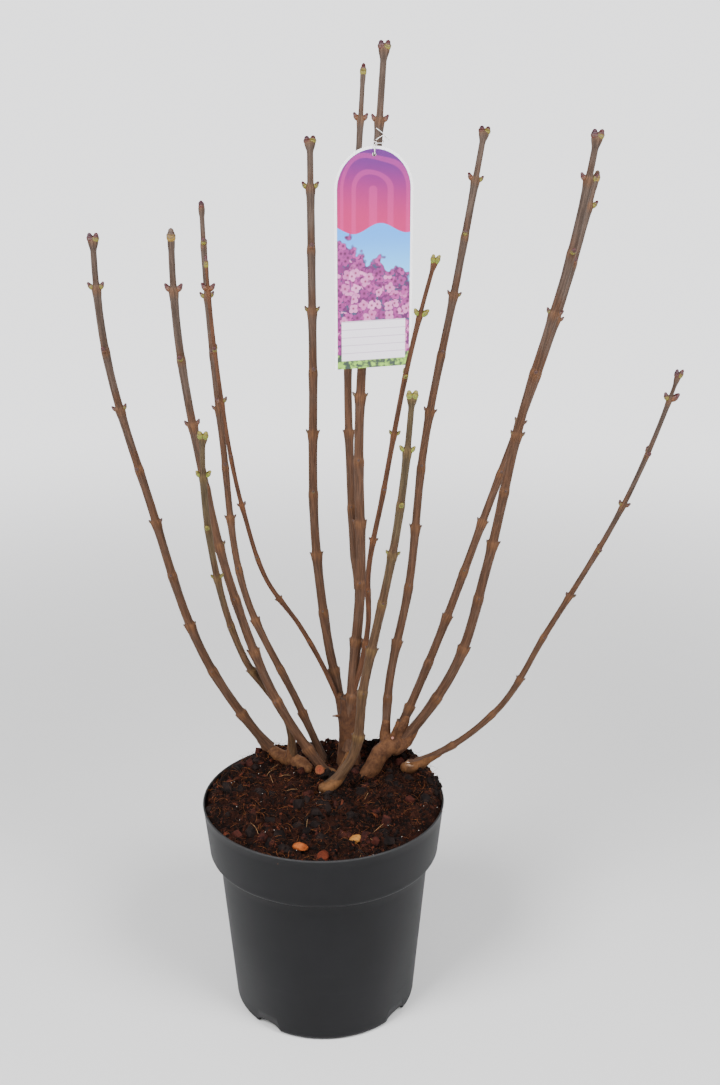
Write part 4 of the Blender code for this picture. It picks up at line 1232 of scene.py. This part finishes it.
def end_buds(cane, spine, draw):
    """The two buds, or the one, that a cane ends in."""
    place, tangent, side, front = spine.at(0.0)
    outward = sideways(side, front, cane.turn * math.pi / 2)
    plain = cane_radius(cane, 0.0)
    if cane.bud == "single":
        wide = plain * 2 * 1.22
        base, point = (AMBER, DULL) if plain > 3.5 * MM else (OLIVE, WINE)
        return [Point(place - tangent * TIP_BUD_LENGTH, tangent, outward,
                      (wide, wide, TIP_BUD_LENGTH), base, point)]
    points = []
    for facing in (1.0, -1.0):
        long = TWIN_BUD_LENGTH * (1.22 if facing > 0 else 1.16)
        wide = max(plain * 2 * 1.06, 5.4 * MM)
        base, point = (LIME, OLIVE) if cane.name in GREEN_TIPPED else (OLIVE, WINE)
        if cane.name not in GREEN_TIPPED and facing < 0:
            base, point = (0.070, 0.016, 0.008), PLUM
        up = (tangent + outward * facing * 0.18).normalized()
        spot = place - tangent * 9.4 * MM + outward * facing * plain * 0.60
        points.append(Point(spot, up, outward * facing, (wide * 0.95, wide, long), base,
                            point))
    return points


bud_scales, wire, shader = start_material("bud_scales", Specular_IOR_Level=0.45)
place = wire.own_place()
rise = wire.attribute("rise")
edge = wire.attribute("edge")
mottle = wire.noise(place, 900.0, 3.0, 0.6)
body = (rise + (mottle - 0.5) * 0.4).ramp(0.34, 0.64).mix(wire.attribute("base", "Color"),
                                                         wire.attribute("point", "Color"))
feed(shader, "Base Color", (edge.ramp(0.35, 1.0) * 0.62).mix(body, (0.022, 0.008, 0.005)))
feed(shader, "Roughness", 0.42 + 0.2 * mottle)
feed_bump(shader, mottle, 0.12 * MM)

bud_points = []
for number, (cane, spine, pairs) in enumerate(grown.values()):
    draw = random.Random(BUD_SEED + number)
    bud_points += side_buds(cane, spine, pairs, draw) + end_buds(cane, spine, draw)
bud_line = bpy.data.meshes.new("bud_points")
bud_line.from_pydata([tuple(point.place) for point in bud_points], [], [])
for label in ("up", "out", "size"):
    carry(bud_line, label, [getattr(point, label) for point in bud_points])
for label in ("base", "point"):
    carry(bud_line, label, [rgba(getattr(point, label)) for point in bud_points])
one_bud = bud_shape()
buds = run_tree("buds", bud_line, bud_tree(), Shape=one_bud, Finish=bud_scales)
bpy.data.objects.remove(one_bud)
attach(buds, "root")

# ==== the label =============================================================================
# A stiff card of printed plastic with a half-round head and a punched hole. Its print is a
# plain nursery design: a violet head, strewn round blossoms, and a ruled panel near its foot.
LABEL_WIDTH = 84 * MM
LABEL_HEIGHT = 220 * MM
LABEL_THICK = 0.8 * MM
LABEL_TOP = Vector((55, 25, 956.5)) * MM
LABEL_TURN = math.radians(20)
LABEL_HOLE_RADIUS = 2.0 * MM
LABEL_HOLE_DROP = 8.0 * MM
label_across = Vector((math.cos(LABEL_TURN), math.sin(LABEL_TURN), 0.0))
label_out = Vector((math.sin(LABEL_TURN), -math.cos(LABEL_TURN), 0.0))


def label_mesh():
    """The card, with its own map in millimetres from the middle of its top edge."""
    radius = LABEL_WIDTH / 2
    outline = [(-radius, -LABEL_HEIGHT + 1 * MM), (-radius + 1 * MM, -LABEL_HEIGHT),
               (radius - 1 * MM, -LABEL_HEIGHT), (radius, -LABEL_HEIGHT + 1 * MM)]
    for step in range(73):
        angle = math.pi * step / 72
        outline.append((radius * math.cos(angle), radius * math.sin(angle) - radius))
    hole = [(LABEL_HOLE_RADIUS * math.cos(math.tau * step / 24),
             LABEL_HOLE_RADIUS * math.sin(math.tau * step / 24) - LABEL_HOLE_DROP)
            for step in range(24)]
    bm = bmesh.new()
    edges = []
    for loop in (outline, hole):
        verts = [bm.verts.new((x, z, 0.0)) for x, z in loop]
        edges += [bm.edges.new((verts[i - 1], verts[i])) for i in range(len(verts))]
    bmesh.ops.triangle_fill(bm, edges=edges, use_beauty=True)
    grown_card = bmesh.ops.extrude_face_region(bm, geom=bm.faces[:])
    moved = [item for item in grown_card["geom"] if isinstance(item, bmesh.types.BMVert)]
    bmesh.ops.translate(bm, verts=moved, vec=(0.0, 0.0, LABEL_THICK))
    bmesh.ops.recalc_face_normals(bm, faces=bm.faces)
    layer = bm.loops.layers.uv.new("card")
    for face in bm.faces:
        for corner in face.loops:
            corner[layer].uv = (corner.vert.co.x / MM, corner.vert.co.y / MM)
    side = bm.faces.layers.float.new("printed")
    for face in bm.faces:
        face[side] = 1.0 if face.normal.z > 0.5 else 0.0
    for vert in bm.verts:
        across, down, out = vert.co
        vert.co = LABEL_TOP + label_across * across + Vector((0, 0, down)) \
            + label_out * (out - LABEL_THICK / 2)
    return mesh_from(bm, "label_card", 30.0)


def blossoms(wire, uv, scale, offset, size):
    """Round four-petalled blossoms, one at each point strewn over the card."""
    spots = wire.vector("ADD", uv, (offset, offset * 1.7, 0.0))
    grid = wire.node("ShaderNodeTexVoronoi", {"feature": "F1"},
                     {"Vector": spots, "Scale": scale, "Randomness": 0.85}, "Position")
    luck = wire.node("ShaderNodeTexWhiteNoise", {}, {"Vector": grid}, "Value")
    local = wire.vector("SUBTRACT", spots, grid)
    x = local.part("X")
    y = local.part("Y")
    radius = wire.math("SQRT", x * x + y * y)
    petals = wire.math("ABSOLUTE", wire.math("COSINE", wire.math("ARCTAN2", y, x) * 2.0
                                             + luck * 6.0))
    reach = size * (0.62 + 0.38 * petals)
    return (radius / reach).ramp(1.05, 0.90), radius / size, luck


label_card, wire, shader = start_material("label_card", Roughness=0.28, Coat_Roughness=0.15,
                                          Specular_IOR_Level=0.5)
uv = wire.node("ShaderNodeUVMap", {"uv_map": "card"}, {}, "UV")
across = uv.part("X")
down = uv.part("Y")
above = wire.math("MAXIMUM", down + 42.0, 0.0)
from_head = wire.math("SQRT", across * across + above * above)
inside = from_head.ramp(39.6, 39.0)
wave = wire.math("SINE", across * 0.11 + 0.8) * 5.0
head = (down - wave).ramp(-80.0, -79.0) * inside
violet_pink = (down + across * 0.12).ramp(-4.0, -78.0).mix((0.085, 0.0020, 0.140),
                                                          (0.400, 0.0010, 0.100))
swirl = wire.math("SINE", from_head * 0.42 + wave * 0.25).ramp(0.35, 0.8)
head_print = (swirl * 0.25).mix(violet_pink, (0.62, 0.035, 0.26))
sky = down.ramp(-80.0, -140.0).mix((0.035, 0.29, 0.86), (0.13, 0.53, 0.98))
far_mask, _, far_luck = blossoms(wire, uv, 0.145, 31.0, 4.4)
mid_mask, mid_reach, mid_luck = blossoms(wire, uv, 0.115, 7.0, 5.2)
near_mask, near_reach, near_luck = blossoms(wire, uv, 0.092, 57.0, 5.6)
bank = (down + across * 0.55 + wire.noise(uv, 0.05, 2.0) * 60.0)
far_heap = bank.ramp(-78.0, -82.0)
near_heap = bank.ramp(-92.0, -96.0)
shadow = far_luck.mix((0.014, 0.002, 0.022), (0.050, 0.004, 0.045))
far_print = (far_heap * 0.92).mix(sky, shadow)
far_tone = far_luck.mix((0.070, 0.004, 0.070), (0.17, 0.012, 0.12))
far_bloom = (far_mask * far_heap).mix(far_print, far_tone)
mid_tone = mid_luck.mix((0.17, 0.012, 0.13), (0.36, 0.040, 0.24))
mid_bloom = (mid_mask * far_heap).mix(far_bloom, mid_reach.ramp(0.0, 0.5).mix(
    (0.060, 0.004, 0.040), mid_tone))
near_tone = near_luck.mix((0.36, 0.040, 0.22), (0.62, 0.22, 0.46))
near_petal = near_reach.ramp(0.05, 0.35).mix((0.17, 0.012, 0.070), near_tone)
blossom_print = (near_mask * near_heap * near_luck.ramp(0.30, 0.34)).mix(mid_bloom, near_petal)
panel = down.ramp(-171.0, -171.6) * down.ramp(-212.0, -211.4) \
    * wire.math("ABSOLUTE", across).ramp(35.0, 34.4)
rule = wire.math("ABSOLUTE", wire.math("PINGPONG", down + 176.0, 8.0) - 4.0).ramp(0.5, 0.2)
panel_print = (rule * 0.8).mix((0.76, 0.71, 0.78), (0.42, 0.30, 0.44))
leaf = wire.noise(uv, 0.16, 2.0)
foot_print = leaf.ramp(0.42, 0.60).mix((0.030, 0.050, 0.035), (0.26, 0.50, 0.06))
lower = down.ramp(-205.0, -206.0).mix(blossom_print, foot_print)
with_panel = panel.mix(lower, panel_print)
front_print = head.mix(with_panel, head_print)
bordered = inside.mix((0.88, 0.87, 0.88), front_print)
printed = wire.attribute("printed")
feed(shader, "Base Color", printed.mix((0.80, 0.79, 0.78), bordered))

label = link_object("label_plate", label_mesh(), label_card)
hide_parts("label")
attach(label, "root")

# ==== the label's thread ====================================================================
# A white elastic thread, passed through the hole, crossed over in front of the cane and
# knotted at its side, where its two cut ends stand out.
THREAD_DIAMETER = 0.8 * MM
TIE_DIAMETER = 1.0 * MM
TIE_STEPS = 160
TIE_SLACK = 0.4 * MM
TIE_WRAP_POINTS = 9
TIE_WRAP_FROM = math.radians(-50)
TIE_WRAP_SWEEP = math.radians(280)
TIE_WRAP_SAG = 3.5 * MM
TIE_WRAP_DROP = 2 * MM
TIE_LEVEL = 9 * MM
TIE_FRONT = ((2.0 * MM, 0.0), (2.4 * MM, 8.5 * MM))
TIE_BACK = ((2.4 * MM, 4.0 * MM), (1.6 * MM, 0.0))


def closed_smooth(points, share):
    """A point on the closed Catmull-Rom curve through the given points."""
    count = len(points)
    place = share * count
    index = int(place) % count
    t = place - int(place)
    a, b, c, d = (points[(index + step - 1) % count] for step in range(4))
    return 0.5 * (2 * b + (c - a) * t + (2 * a - 5 * b + 4 * c - d) * t ** 2
                  + (3 * b - a - 3 * c + d) * t ** 3)


def thread_mesh(name, strands):
    """Round threads along lists of points; each strand says whether it closes."""
    curve = bpy.data.curves.new(name, "CURVE")
    curve.dimensions = "3D"
    curve.bevel_depth = THREAD_DIAMETER / 2
    curve.bevel_resolution = 3
    curve.use_fill_caps = True
    for closes, places in strands:
        spline = curve.splines.new("POLY")
        spline.points.add(len(places) - 1)
        spline.use_cyclic_u = closes
        for point, place in zip(spline.points, places):
            point.co = (*place, 1.0)
    holder = link_object(name, curve)
    graph = bpy.context.evaluated_depsgraph_get()
    mesh = bpy.data.meshes.new_from_object(holder.evaluated_get(graph))
    bpy.data.objects.remove(holder)
    bpy.data.curves.remove(curve)
    return mesh


def thread_strands():
    """The loop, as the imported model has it, and the two free ends at the knot."""
    cane, spine, _ = grown["cane_centre_tall"]
    level = LABEL_TOP.z + TIE_LEVEL
    nearest = min(range(len(spine.points)), key=lambda i: abs(spine.points[i].z - level))
    stem = spine.points[nearest]
    share = spine.lengths[nearest] / spine.length
    girth = cane_radius(cane, share) + TIE_DIAMETER / 2 + TIE_SLACK
    up = Vector((0, 0, 1))
    hole = LABEL_TOP - up * LABEL_HOLE_DROP
    seat = hole + up * (LABEL_HOLE_RADIUS - TIE_DIAMETER / 2 - TIE_SLACK)
    route = [seat + label_out * away + up * height for away, height in TIE_FRONT]
    for step in range(TIE_WRAP_POINTS):
        share = step / (TIE_WRAP_POINTS - 1)
        angle = TIE_WRAP_FROM + TIE_WRAP_SWEEP * share
        height = -TIE_WRAP_DROP - TIE_WRAP_SAG * (2 * share - 1) ** 2
        route.append(stem + (label_across * math.cos(angle) - label_out * math.sin(angle))
                     * girth + up * height)
    route += [seat + label_out * away + up * height for away, height in TIE_BACK]
    loop = [closed_smooth(route, step / TIE_STEPS) for step in range(TIE_STEPS)]
    knot = stem + label_across * girth * 0.75 + label_out * girth * 0.8 + up * 1.0 * MM
    over = ((-7.5, 0.6, 7.5), (-4.0, 1.6, 5.0), (0.0, 1.2, 2.0),
            (1.6, 0.8, 0.3), (5.0, 1.2, -1.8), (9.5, 1.0, -1.0))
    under = ((-8.0, 1.0, -3.5), (-4.0, 1.8, -0.6), (0.2, 1.6, 0.8),
             (1.4, 0.6, 0.0), (4.0, 0.6, -2.9), (7.0, 0.4, -3.6))
    ends = [smooth_path([knot + label_across * x * MM + up * z * MM + label_out * y * MM
                         for x, y, z in offsets], 50) for offsets in (over, under)]
    return [(True, loop)] + [(False, end) for end in ends]


tie_thread = matt("tie_thread", (0.60, 0.58, 0.55), (0.80, 0.79, 0.77), 600.0, 0.6, 0.4)
thread = link_object("label_thread", thread_mesh("label_thread", thread_strands()),
                     tie_thread)
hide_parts("label_tie")
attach(thread, "root")

# ==== the floor and the light ===============================================================
# A plain pale floor whose far part, from 0.7 m out, fades into a painted glow as bright as the
# pale walls under a dimmer ceiling, and two broad soft lights high in front, one on each side.
FLOOR_RADIUS = 9.0
SURROUND = (0.90, 0.90, 0.915)
WALL_STRENGTH = 2.35
CEILING_STRENGTH = 0.40
WALL_TOP = 0.10                     # heights of the ray's direction, from level to overhead
CEILING_FROM = 0.42

room = bpy.data.worlds.new("room")
room.use_nodes = True
glow = room.node_tree.nodes["Background"]
glow.inputs["Color"].default_value = rgba(SURROUND)
wire = Wire(room.node_tree)
heading = wire.node("ShaderNodeTexCoord", {}, {}, "Generated")
climb = heading.part("Z")
feed(glow, "Strength", CEILING_STRENGTH + (WALL_STRENGTH - CEILING_STRENGTH)
     * climb.ramp(CEILING_FROM, WALL_TOP))
bpy.context.scene.world = room

floor_paint, wire, shader = start_material("floor_paint", Roughness=0.75,
                                            Base_Color=rgba((0.80, 0.80, 0.80)))
place = wire.own_place()
# from 0.7 m out the floor becomes an emitting glow as bright as the walls: a painted glow, which
# also lights the plant from low down
far = wire.vector("LENGTH", place, out="Value").ramp(0.7, 2.8)
far_floor_glow = wire.node("ShaderNodeEmission", {}, {"Color": rgba(SURROUND),
                                            "Strength": WALL_STRENGTH})
joined = wire.node("ShaderNodeMixShader", {}, {0: far, 1: Wire(wire.tree, shader.outputs[0]),
                                               2: far_floor_glow})
feed(wire.tree.nodes["Material Output"], "Surface", joined)

bm = bmesh.new()
bmesh.ops.create_circle(bm, cap_ends=True, segments=96, radius=FLOOR_RADIUS)
bmesh.ops.translate(bm, verts=bm.verts, vec=(0.0, 0.0, -0.2 * MM))
floor = link_object("floor", mesh_from(bm, "floor"), floor_paint)


def soft_light(name, place, aim, size, watts):
    lamp = bpy.data.lights.new(name, "AREA")
    lamp.shape = "DISK"
    lamp.size = size
    lamp.energy = watts
    obj = bpy.data.objects.new(name, lamp)
    obj.location = place
    obj.rotation_euler = (Vector(aim) - Vector(place)).to_track_quat("-Z", "Y").to_euler()
    bpy.context.scene.collection.objects.link(obj)


soft_light("key", (-1.5, -1.7, 2.7), (0.0, 0.0, 0.4), 1.5, 150.0)
soft_light("fill", (1.6, -1.5, 2.6), (0.0, 0.0, 0.4), 1.5, 110.0)
